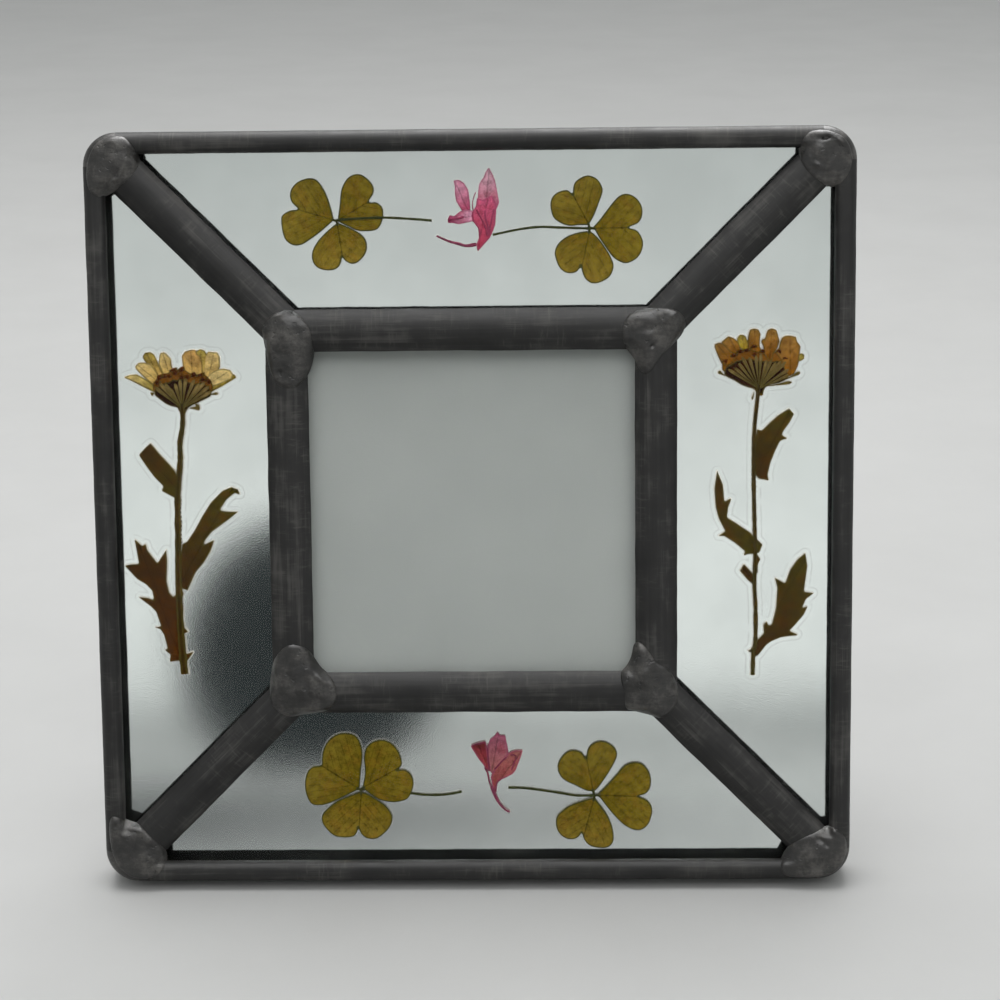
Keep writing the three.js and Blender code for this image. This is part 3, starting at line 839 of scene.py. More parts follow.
def joint(name, outline, swell, marks, seed, corner=None, back=False):
    """A solder joint, with the rounded body of its outer corner if it has one."""
    parts = [bead(smooth_loop(relaxed(outline)), swell, marks, seed)]
    if corner is not None:
        parts.append(turned(corner_body(), corner * QUARTER))
    solder = join(parts)
    if back:
        turn_over(solder)
    smooth_shading(solder, 60)
    settle(solder, name + "_solder", [name], "solder", SOLDER)


def round_outline(centre, radius, index, seed):
    """An uneven round outline on the diagonal through a corner."""
    angles = [step * math.pi / 10 for step in range(20)]
    turn = Matrix.Rotation(index * QUARTER, 2)
    middle = turn @ Vector((centre, centre))
    limit = FRAME_HALF - 0.25
    outline = []
    for angle in angles:
        way = Vector((math.cos(angle), math.sin(angle)))
        reach = radius * (1 + 0.14 * noise.noise(Vector((*way, seed))))
        outline.append(Vector([min(max(value, -limit), limit) for value in middle + way * reach]))
    return outline


# ---------------------------------------------------------------- plants

def along_line(points, share):
    """The place at a share of the way along a smooth line through the points."""
    last = len(points) - 1
    index = min(int(share * last), last - 1)
    part = share * last - index
    before, start, end, after = (Vector(points[min(max(index + step, 0), last)]) for step in (-1, 0, 1, 2))
    bend = (2 * before - 5 * start + 4 * end - after) * part**2
    twist = (3 * start - before - 3 * end + after) * part**3
    return (2 * start + (end - before) * part + bend + twist) / 2


def smooth_loop(points):
    """A rounded closed outline through the points."""
    ring = [*points[-2:], *points, *points[:2]]
    count = len(ring) - 1
    shares = [(2 + step / LOOP_STEPS) / count for step in range(LOOP_STEPS * len(points))]
    return [along_line(ring, share) for share in shares]


def relaxed(points):
    """The closed outline with its sharpest points drawn in."""
    ring = [Vector(point) for point in points]
    next_to = zip([ring[-1], *ring], ring, [*ring[1:], ring[0]])
    return [(before + 2 * point + after) / 4 for before, point, after in next_to]


def grown(outline, base, tip, longer, wider):
    """An outline made longer and wider, with its tip kept in place."""
    tip = Vector(tip)
    axis = (tip - Vector(base)).normalized()
    side = Vector((-axis.y, axis.x))
    offsets = [Vector(place) - tip for place in outline]
    return [tip + axis * offset.dot(axis) * longer + side * offset.dot(side) * wider for offset in offsets]


def rim_distance(places, outline):
    """How far each place is from the outline."""
    starts = np.array([tuple(point) for point in outline])
    edges = np.roll(starts, -1, axis=0) - starts
    offsets = places[:, None, :] - starts
    shares = np.clip((offsets * edges).sum(2) / (edges**2).sum(1), 0, 1)
    return np.linalg.norm(offsets - shares[..., None] * edges, axis=2).min(axis=1)


def write_grain(piece, grain, colours, share, clear):
    """Writes how far along, across and in from the rim each point is, with its colour and clearness."""
    count = len(piece.data.vertices)
    measures = piece.data.attributes.new("grain", "FLOAT_VECTOR", "POINT")
    measures.data.foreach_set("vector", np.column_stack(grain).ravel())
    first, last = (np.array([*dye(*seen), 1 - clear]) for seen in colours)
    tints = first + (last - first) * np.clip(share, 0, 1).reshape(count, 1)
    dyes = piece.data.attributes.new("tint", "FLOAT_COLOR", "POINT")
    dyes.data.foreach_set("color", tints.ravel())


def points_of(piece):
    places = np.empty(3 * len(piece.data.vertices))
    piece.data.vertices.foreach_get("co", places)
    return places.reshape(-1, 3)


def blade(outline, base, tip, colours, lift, clear=0.0, crinkle=0.05):
    """A thin leaf, petal or bract, dried flat: its outline, and the line that it grows along."""
    piece = slab(outline, 0, RAW_THICKNESS)
    modify(piece, "REMESH", mode="VOXEL", voxel_size=LEAF_GRAIN)
    modify(piece, "SMOOTH", factor=0.5, iterations=4)
    axis = (Vector(tip) - Vector(base)).normalized()
    places = points_of(piece)
    away = places[:, :2] - np.array(base)
    along = away @ np.array(axis)
    across = away @ np.array((-axis.y, axis.x))
    rim = rim_distance(places[:, :2], outline)
    for vertex, inward in zip(piece.data.vertices, rim):
        ripple = noise.noise(Vector((vertex.co.x, vertex.co.y, 9 * lift)) / CRINKLE_SIZE)
        flat = (vertex.co.z / RAW_THICKNESS - 0.5) * DRY_THICKNESS
        vertex.co.z = flat + lift + crinkle * ripple * min(inward + 0.3, 1)
    length = (Vector(tip) - Vector(base)).length
    write_grain(piece, (along, across, rim), colours, along / length, clear)
    return piece


def stalk(line, width, colours, lift=0.14, taper=1.0):
    """A stalk along a smooth line, slightly uneven, tapering to a share of its width."""
    length = sum((Vector(end) - Vector(start)).length for start, end in zip(line, line[1:]))
    rod = cylinder(0.5, 1, (0.5, 0, 0), ALONG_X, sides=10)
    divide_lengthwise(rod, int(length / STALK_SPACING))
    raw = points_of(rod)
    for vertex in rod.data.vertices:
        share, side, rise = min(max(vertex.co.x, 0), 1), vertex.co.y, vertex.co.z
        before, after = (along_line(line, min(max(share + step, 0), 1)) for step in (-0.01, 0.01))
        ahead = (after - before).normalized()
        uneven = 1 + 0.25 * noise.noise(Vector((share * length, line[0][0], 0)))
        wide = width * (1 - (1 - taper) * share) * uneven
        spot = along_line(line, share) + Vector((-ahead.y, ahead.x)) * side * wide
        vertex.co = (spot.x, spot.y, lift + rise * min(wide, STALK_THICKNESS))
    along, across = raw[:, 0] * length, raw[:, 1] * width
    write_grain(rod, (along, across, width / 2 - abs(across)), colours, raw[:, 0], 0.0)
    return rod


def film_pocket(plant, reach):
    """The pocket that a plant leaves in its covering film: a very thin sheet reaching past its edges."""
    sheet = bpy.data.objects.new("film", plant.data.copy())
    bpy.context.collection.objects.link(sheet)
    for vertex in sheet.data.vertices:
        vertex.co.z *= 2
    modify(sheet, "REMESH", mode="VOXEL", voxel_size=FILM_GRAIN)
    modify(sheet, "DISPLACE", strength=reach, mid_level=0)
    modify(sheet, "REMESH", mode="VOXEL", voxel_size=FILM_GRAIN)
    tree = kdtree.KDTree(len(plant.data.vertices))
    for index, vertex in enumerate(plant.data.vertices):
        tree.insert((vertex.co.x, vertex.co.y, 0), index)
    tree.balance()
    away = []
    for vertex in sheet.data.vertices:
        away.append(tree.find((vertex.co.x, vertex.co.y, 0))[2])
        vertex.co.z = FILM_LEVEL + math.copysign(FILM_HALF, vertex.co.z)
    sheet.data.attributes.new("away", "FLOAT", "POINT").data.foreach_set("value", away)
    return sheet


def settle_plant(name, parts, slot, finish, film, reach):
    """Joins what grew as one, and covers it with its film."""
    plant = join(parts)
    sheet = film_pocket(plant, reach)
    sheet.visible_shadow = False
    settle(sheet, f"{name}_film", [name], slot, film)
    smooth_shading(plant, 60)
    settle(plant, f"{name}_dried", [name], slot, finish)


def clover(name, spec):
    parts = []
    for index, (outline, base, tip) in enumerate(spec["leaflets"]):
        colours = (CLOVER_HEART, CLOVER_GREEN[index])
        parts.append(blade(smooth_loop(outline), base, tip, colours, lift=0.05 * index - 0.05))
    stalk_lift = 0.18 if spec["stalk_on_top"] else -0.12
    parts.append(stalk(spec["line"], 0.36, (STALK_DARK, STALK_DARK), stalk_lift))
    for outline, base, tip in spec["leaflets"]:
        line = (spec["centre"], base, Vector(base).lerp(tip, 0.06))
        parts.append(stalk(line, 0.34, (STALK_DARK, CLOVER_HEART), lift=0.1))
    settle_plant(name, parts, "clover_leaf", CLOVER, CLOSE_FILM, reach=0.34)


def bract_outline(base, tip, width):
    """A narrow outline from its base to its tip, with half-widths at shares of its length."""
    base, tip = Vector(base), Vector(tip)
    side = Vector((base.y - tip.y, tip.x - base.x)).normalized() * width / 2
    edges = [(base.lerp(tip, share), side * wide) for share, wide in BRACT_PROFILE]
    up = [place + wide for place, wide in edges]
    down = [place - wide for place, wide in reversed(edges)]
    return [*up, tip, *down]


def bracts(specs, colours, lifts):
    """Several bracts, lifted in turn so that they overlap."""
    return [
        blade(bract_outline(base, tip, width), base, tip, colours, lifts[index % len(lifts)], crinkle=0.03)
        for index, (base, tip, width) in enumerate(specs)
    ]


def pink_flower(name, spec):
    parts = []
    for index, (outline, base, tip, colours, clear) in enumerate(spec["petals"]):
        parts.append(blade(outline, base, tip, colours, 0.06 * index - 0.1, clear))
    parts += [stalk(line, width, colours, lift=0.16) for line, width, colours in spec["creases"]]
    parts.append(stalk(spec["line"], 0.5, (STEM_MAROON, STALK_DARK), lift=0.12, taper=0.5))
    settle_plant(name, parts, "pink_petal", PINK, CLOSE_FILM, reach=0.4)


def daisy(name, spec):
    neck, cup, cup_top = spec["neck"], spec["cup"], spec["cup_top"]
    lower_cup = grown(cup, cup_top, neck, *LOWER_CUP_GROWTH)
    parts = [
        blade(cup, neck, cup_top, (CUP_BROWN, CUP_BROWN), lift=-0.04),
        blade(lower_cup, neck, cup_top, (CUP_DARK, CUP_DARK), lift=0.02),
    ]
    for index, (outline, base, tip, colours) in enumerate(spec["petals"]):
        petal = grown(outline, base, tip, *spec["petal_growth"])
        lift = spec["petal_lift"] + 0.06 * (index % 2)
        parts.append(blade(petal, base, tip, colours, lift, clear=0.06))
    fan = [(neck, tip, spec["bract_width"]) for tip in spec["bract_tips"]]
    parts += bracts(fan, (BRACT_OLIVE, BRACT_TIP), (0.2, 0.12, 0.24))
    parts += bracts(spec["loose_bracts"], (BRACT_OLIVE, BRACT_OLIVE), (0.05,))
    parts += [floret(place, index) for index, place in enumerate(spec["florets"])]
    for outline, base, tip, colours in spec["leaves"]:
        parts.append(blade(outline, base, tip, colours, lift=-0.03, crinkle=0.12))
    parts.append(stalk(spec["stem"], spec["stem_width"], spec["stem_colours"], taper=spec["stem_taper"]))
    settle_plant(name, parts, "daisy", DAISY, LIFTED_FILM, reach=1.35)


def floret(place, index):
    """A small crumpled floret on top of the flower's cup."""
    bud = ball(FLORET_SIZE, (*place, 0.15), 8)
    shift = Vector((index * 3.1, place[0], 0))
    for vertex in bud.data.vertices:
        vertex.co += Vector((0.5, 0.4, 0.04)) * noise.noise(vertex.co * 2.6 + shift)
    raw = points_of(bud)
    across, along = np.abs(raw[:, 0] - place[0]), raw[:, 1] - place[1]
    write_grain(bud, (along, across, FLORET_SIZE[0] - across), (RUST_DARK, RUST), along, 0)
    return bud


# ---------------------------------------------------------------- back

def board(name, node, outline, depths, rounding, **where):
    """A flat flocked board of the given outline, with softened edges."""
    back, front = depths
    piece = slab(outline, back, front - back)
    soften(piece, rounding, segments=3, angle=30)
    smooth_shading(piece)
    settle(piece, name, [node], "velvet_board", VELVET, **where)


def backing_board():
    corners = ((-1, -1), (1, -1), (1, 1), (-1, 1))
    outline = [(x * BOARD_HALF, y * BOARD_HALF) for x, y in corners]
    board("backing_board_flocked", "backing_board", outline, BOARD_DEPTHS, rounding=0.3)


def backing_clip(name, x_side, y):
    """A steel strip from the back of a came, bent in to hold the board."""
    strip = box((CLIP_LENGTH, CLIP_WIDTH, CLIP_THICKNESS), (0, 0, 0))
    divide_lengthwise(strip, cuts=32)
    for vertex in strip.data.vertices:
        share = vertex.co.x / CLIP_LENGTH + 0.5
        bend = min(max((share - 0.34) / 0.2, 0), 1)
        lift = CLIP_ON_CAME + (CLIP_ON_BOARD - CLIP_ON_CAME) * (1 - bend * bend * (3 - 2 * bend))
        narrow = 1 - 0.12 * max(0, 0.3 - share)
        vertex.co = (CLIP_START + share * CLIP_LENGTH, vertex.co.y * narrow, vertex.co.z + lift)
    soften(strip, 0.12)
    turned(strip, 0 if x_side > 0 else math.pi)
    strip.data.transform(Matrix.Translation((0, y, 0)))
    smooth_shading(strip)
    settle(strip, f"{name}_steel", [name], "hinge_steel", STEEL)


def strut_knuckle():
    """The knuckle that the strut hangs by, bored for the pin."""
    length = 2 * KNUCKLE_MIDDLE
    barrel = cylinder(KNUCKLE_RADIUS, length, (0, 0, 0), ALONG_X, sides=48)
    soften(barrel, 0.12)
    return cut_away(barrel, cylinder(PIN_BORE, 2 * length, (0, 0, 0), ALONG_X, sides=48))


def leaf_knuckle(side):
    """A rolled knuckle with the web that joins it to the plate."""
    length = HINGE_HALF - KNUCKLE_MIDDLE - KNUCKLE_GAP
    x = side * (HINGE_HALF - length / 2)
    top = LEAF_FRONT - HINGE_PLACE[2]
    web = box((length, KNUCKLE_RADIUS, top - 0.1), (x, KNUCKLE_RADIUS / 2, top / 2))
    knuckle = cylinder(KNUCKLE_RADIUS, length, (x, 0, 0), ALONG_X, sides=48)
    cut_away(knuckle, web, "UNION")
    cut_away(knuckle, cylinder(PIN_BORE, 3 * length, (x, 0, 0), ALONG_X, sides=48))
    return soften(knuckle, 0.08, angle=50)


def hinge_leaf():
    thickness = LEAF_FRONT - LEAF_BACK
    middle = (LEAF_FRONT + LEAF_BACK) / 2 - HINGE_PLACE[2]
    plate = box((2 * HINGE_HALF, LEAF_HEIGHT, thickness), (0, LEAF_HEIGHT / 2, middle))
    round_edges(plate, lambda place, direction: along_z(place, direction) and place.y > 1, 1.2, 6)
    soften(plate, 0.1)
    leaf = join([plate, leaf_knuckle(-1), leaf_knuckle(1)])
    leaf.data.transform(Matrix.Translation(HINGE_PLACE))
    smooth_shading(leaf)
    settle(leaf, "hinge_leaf_steel", ["hinge_leaf"], "hinge_steel", STEEL)


def hinge_pin():
    reach = HINGE_HALF + KNUCKLE_GAP
    parts = [cylinder(PIN_RADIUS, 2 * reach + PIN_HEAD_THICKNESS, (0, 0, 0), ALONG_X)]
    for side in (-1, 1):
        place = (side * (reach + PIN_HEAD_THICKNESS / 2), 0, 0)
        head = cylinder(PIN_HEAD_RADIUS, PIN_HEAD_THICKNESS, place, ALONG_X, sides=40)
        parts.append(soften(head, 0.25, segments=4))
    pin = join(parts)
    pin.data.transform(Matrix.Translation(HINGE_PLACE))
    smooth_shading(pin)
    settle(pin, "hinge_pin_steel", ["hinge_pin"], "hinge_steel", STEEL)


def rivet(name, side):
    """A domed rivet head, slightly flattened when it was set."""
    head = ball((RIVET_RADIUS, RIVET_RADIUS, RIVET_BULGE), (side * RIVET_X, RIVET_Y, LEAF_BACK), 16)
    slice_off(head, (0, 0, LEAF_BACK - RIVET_HEIGHT), (0, 0, -1))
    slice_off(head, (0, 0, LEAF_BACK - 0.02), (0, 0, 1))
    smooth_shading(head, 50)
    settle(head, f"{name}_steel", [name], "hinge_steel", STEEL)


def strut():
    """The easel leg, drawn hanging from its hinge line, and the steel knuckle that it hangs by."""
    drop = STRUT_DROP / math.cos(STRUT_OPENING - LEAN)
    left_side = (
        (-KNUCKLE_MIDDLE, -1.2), (-KNUCKLE_MIDDLE, -STRUT_NECK), (-STRUT_TOP_HALF, -STRUT_NECK),
        (-STRUT_FOOT_HALF, -drop + 2), (-STRUT_FOOT_HALF + 0.6, -drop + 0.6), (-STRUT_FOOT_HALF + 2, -drop),
    )
    right_side = [(-x, y) for x, y in reversed(left_side)]
    board("strut_leg", "strut", (*left_side, *right_side), (0, STRUT_THICKNESS), rounding=0.25,
          body="strut", place=HINGE_TO_FRAME)
    tongue = box(STRUT_TONGUE, (0, -2.6, STRUT_THICKNESS - 0.05))
    soften(tongue, 0.1)
    metal = join([strut_knuckle(), tongue])
    smooth_shading(metal)
    settle(metal, "strut_knuckle", ["strut"], "hinge_steel", STEEL, "strut", HINGE_TO_FRAME)


# ---------------------------------------------------------------- stage, light and camera

def disc(name, radius, finish, place, turn=(0, 0, 0), sides=48):
    """A flat round thing of the stage."""
    bpy.ops.object.select_all(action="DESELECT")
    bpy.ops.mesh.primitive_circle_add(
        vertices=sides, radius=radius, fill_type="NGON", location=place, rotation=turn
    )
    piece = bpy.context.object
    piece.name = name
    piece.data.materials.append(finish.material)
    return piece


def stage_floor():
    finish = Finish("pale studio floor", {"Roughness": 0.8})
    point = finish.node("ShaderNodeTexCoord", output="Object")
    cloud = finish.noise(point, 30, 4, 0.6)
    finish.set("Base Color", finish.ramp(cloud, (0.3, (0.62, 0.62, 0.61)), (0.7, (0.65, 0.65, 0.64))))
    floor = disc("studio_floor", FLOOR_RADIUS, finish, (0, FLOOR_CENTRE_Y, 0), sides=64)


def soft_light(name, place, size, power, lights_rough):
    bpy.ops.object.select_all(action="DESELECT")
    bpy.ops.object.light_add(type="AREA", location=place)
    light = bpy.context.object
    light.name = name
    light.data.shape = "DISK"
    light.data.size = size
    light.data.energy = power
    aim = Vector((0, 0, 0.05)) - Vector(place)
    light.rotation_euler = aim.to_track_quat("-Z", "Y").to_euler()
    light.visible_diffuse = lights_rough


def studio():
    """A pale world that darkens upwards, and soft lights."""
    world = bpy.data.worlds.new("soft studio")
    bpy.context.scene.world = world
    world.use_nodes = True
    tree = world.node_tree
    background = tree.nodes["Background"]
    coordinates = tree.nodes.new("ShaderNodeTexCoord")
    height = tree.nodes.new("ShaderNodeSeparateXYZ")
    ramp = tree.nodes.new("ShaderNodeValToRGB")
    for stop, (position, shade) in zip(ramp.color_ramp.elements, SKY):
        stop.position = position
        stop.color = (*shade, 1)
    tree.links.new(coordinates.outputs["Generated"], height.inputs[0])
    tree.links.new(height.outputs["Z"], ramp.inputs[0])
    tree.links.new(ramp.outputs["Color"], background.inputs["Color"])
    for light in SOFT_LIGHTS:
        soft_light(*light)
    bpy.context.scene.view_settings.view_transform = "Standard"


def dark_card():
    """A dark round card beside the camera, seen only as a reflection in the mirror panels."""
    finish = Finish("dark card", {"Base Color": (0.012, 0.018, 0.02, 1), "Roughness": 0.9})
    start = FLAT_TO_FRAME @ Vector(CARD_SEEN_AT)
    end = FLAT_TO_FRAME @ Vector(CARD_PLACE)
    aim = (start - end).to_track_quat("Z", "Y").to_euler()
    card = disc("dark_card", CARD_RADIUS, finish, end, aim)
    card.visible_camera = False
    card.visible_shadow = False


def floor_shade():
    """A soft shade on the floor in front, out of view, seen only as a reflection."""
    finish = Finish("floor shade", {"Base Color": (0.02, 0.022, 0.024, 1), "Roughness": 0.9})
    point = finish.node("ShaderNodeTexCoord", output="Object")
    away = finish.node("ShaderNodeVectorMath", {"operation": "LENGTH"}, {0: point}, output=1)
    in_front = 1 - finish.parts(point)[1].above(0.08, 0.12)
    finish.set("Alpha", (1 - away.above(0.0, SHADE_RADIUS)) * in_front * 0.95)
    shade = disc("floor_shade", SHADE_RADIUS, finish, SHADE_PLACE)
    shade.visible_camera = False
    shade.visible_shadow = False
    shade.visible_diffuse = False


def camera():
    bpy.ops.object.select_all(action="DESELECT")
    turn = [math.radians(degrees) for degrees in CAMERA_DEGREES]
    bpy.ops.object.camera_add(location=CAMERA_PLACE, rotation=turn)
    view = bpy.context.object
    view.data.lens = CAMERA_LENS
    view.data.sensor_width = 36
    view.data.clip_start = 0.01
    bpy.context.scene.camera = view


# ---------------------------------------------------------------- outlines

# Front joints: outline, swelling, and marks as (place, length, breadth, degrees, depth).
FRONT_JOINTS = {
    "outer_joint_front_top_left": (
        ((-56.9, 50.8), (-56.3, 48.4), (-55.4, 47.9), (-54.4, 47.5), (-53.8, 47.8), (-51.9, 48.7),
         (-50.1, 50.2), (-48.5, 52.1), (-48.6, 53.0), (-48.8, 54.3), (-50.0, 55.6), (-50.5, 56.9),
         (-52.6, 56.9), (-54.7, 56.1), (-56.2, 54.1)),
        0.62,
        (((-53.1, 49.9), 0.9, 0.25, 50, 0.35), ((-52.0, 50.8), 1.0, 0.22, 55, 0.4),
         ((-52.5, 50.2), 0.9, 0.25, 50, -0.35), ((-51.2, 51.4), 1.1, 0.3, 60, -0.25),
         ((-49.4, 55.0), 1.2, 0.3, -45, -0.3)),
    ),
    "outer_joint_front_top_right": (
        ((49.5, 56.5), (48.8, 54.9), (48.4, 53.1), (48.8, 51.4), (50.0, 49.9), (51.7, 48.7), (53.3, 48.1),
         (54.0, 47.8), (55.5, 49.3), (56.6, 51.2), (56.5, 53.4), (55.4, 55.4), (53.5, 56.5), (51.5, 56.6)),
        0.6,
        (((53.3, 52.6), 1.9, 1.7, 0, 0.4), ((51.4, 51.2), 0.9, 0.35, -30, -0.4),
         ((52.0, 50.6), 0.8, 0.25, -30, 0.2), ((52.3, 55.3), 0.65, 0.2, 5, 0.9),
         ((54.4, 54.9), 1.2, 0.25, -35, -0.3), ((50.4, 53.2), 0.3, 1.4, 0, 0.2)),
    ),
    "outer_joint_front_bottom_left": (
        ((-56.5, -46.8), (-56.0, -46.4), (-54.6, -46.5), (-54.1, -47.6), (-52.7, -47.7), (-51.7, -47.9),
         (-50.4, -49.4), (-49.0, -50.7), (-47.8, -51.9), (-47.3, -54.1), (-48.7, -55.8), (-50.7, -56.9),
         (-53.4, -56.8), (-56.1, -54.1), (-56.4, -50.7)),
        0.55,
        (((-55.3, -48.0), 0.2, 0.2, 0, 0.6), ((-52.6, -48.5), 1.7, 0.35, -12, -0.35),
         ((-52.7, -52.0), 0.5, 0.7, 0, 0.15), ((-50.6, -51.6), 1.4, 0.5, 45, 0.15)),
    ),
    "outer_joint_front_bottom_right": (
        ((46.2, -55.0), (46.8, -53.2), (48.5, -50.8), (50.1, -50.1), (51.9, -49.6), (53.4, -48.8),
         (54.5, -48.4), (55.5, -49.5), (56.9, -50.2), (56.9, -53.3), (55.5, -55.8), (52.8, -57.0),
         (49.6, -57.0), (46.5, -56.6)),
        0.6,
        (((54.5, -49.2), 0.6, 0.6, 0, -0.5), ((52.5, -50.6), 0.7, 0.3, -30, 0.35),
         ((53.4, -51.3), 0.5, 0.25, -60, 0.4), ((50.2, -53.4), 0.5, 0.5, 0, 0.12)),
    ),
    "window_joint_front_top_left": (
        ((-31.3, 28.2), (-30.4, 29.4), (-28.8, 30.8), (-27.5, 31.1), (-25.9, 30.3), (-24.9, 29.7),
         (-23.7, 28.1), (-23.5, 26.6), (-23.7, 25.0), (-23.1, 24.1), (-23.9, 22.5), (-24.4, 20.2),
         (-26.2, 19.0), (-28.5, 18.6), (-30.2, 20.5), (-30.6, 25.1), (-31.1, 26.9)),
        0.6,
        (((-28.4, 30.2), 1.6, 0.4, 20, -0.2), ((-29.1, 27.3), 0.5, 0.25, 70, 0.15),
         ((-28.4, 21.5), 0.3, 0.3, 0, 0.25), ((-26.8, 22.5), 1.6, 2.6, 0, 0.25)),
    ),
    "window_joint_front_top_right": (
        ((22.8, 30.0), (22.5, 27.6), (22.5, 24.9), (23.6, 24.0), (24.5, 23.3), (24.9, 21.3), (26.1, 20.0),
         (27.3, 22.0), (28.5, 24.0), (30.3, 25.1), (31.3, 26.3), (32.4, 28.0), (31.8, 29.7), (30.1, 30.8),
         (28.1, 30.6), (25.4, 30.5)),
        0.38,
        (((23.1, 25.1), 0.3, 0.2, 20, 0.5), ((27.0, 25.1), 0.35, 0.2, 35, 0.6),
         ((30.2, 29.7), 1.4, 0.4, 40, -0.3), ((26.5, 27.5), 2.0, 0.5, 10, 0.15)),
    ),
    "window_joint_front_bottom_left": (
        ((-31.0, -21.5), (-31.2, -27.2), (-31.5, -28.6), (-30.2, -30.4), (-28.1, -31.6), (-26.8, -30.9),
         (-25.1, -30.8), (-22.1, -30.7), (-20.5, -28.7), (-20.9, -26.0), (-22.2, -24.6), (-23.4, -23.7),
         (-24.5, -22.5), (-24.9, -20.0), (-28.5, -19.0)),
        0.5,
        (((-29.8, -29.6), 0.3, 0.2, -40, 0.35), ((-23.9, -28.4), 0.25, 0.25, 0, 0.3),
         ((-23.6, -24.8), 1.5, 0.5, -45, -0.5), ((-25.4, -26.2), 0.35, 1.6, 10, 0.3),
         ((-28.2, -24.0), 0.6, 2.2, 0, 0.25)),
    ),
    "window_joint_front_bottom_right": (
        ((23.9, -20.0), (25.0, -19.3), (26.3, -21.0), (27.1, -22.0), (27.9, -23.6), (29.0, -23.0),
         (29.6, -24.4), (30.4, -25.4), (31.0, -27.1), (31.1, -29.1), (30.0, -30.5), (28.9, -31.1),
         (28.4, -32.4), (26.5, -31.0), (24.6, -30.8), (22.8, -30.6), (22.5, -29.4), (23.1, -27.4),
         (22.0, -26.0), (21.8, -24.3), (23.4, -23.8), (24.0, -22.3)),
        0.42,
        (((26.0, -24.5), 0.5, 2.0, -25, -0.15), ((27.5, -27.5), 1.2, 1.0, 0, 0.12)),
    ),
}

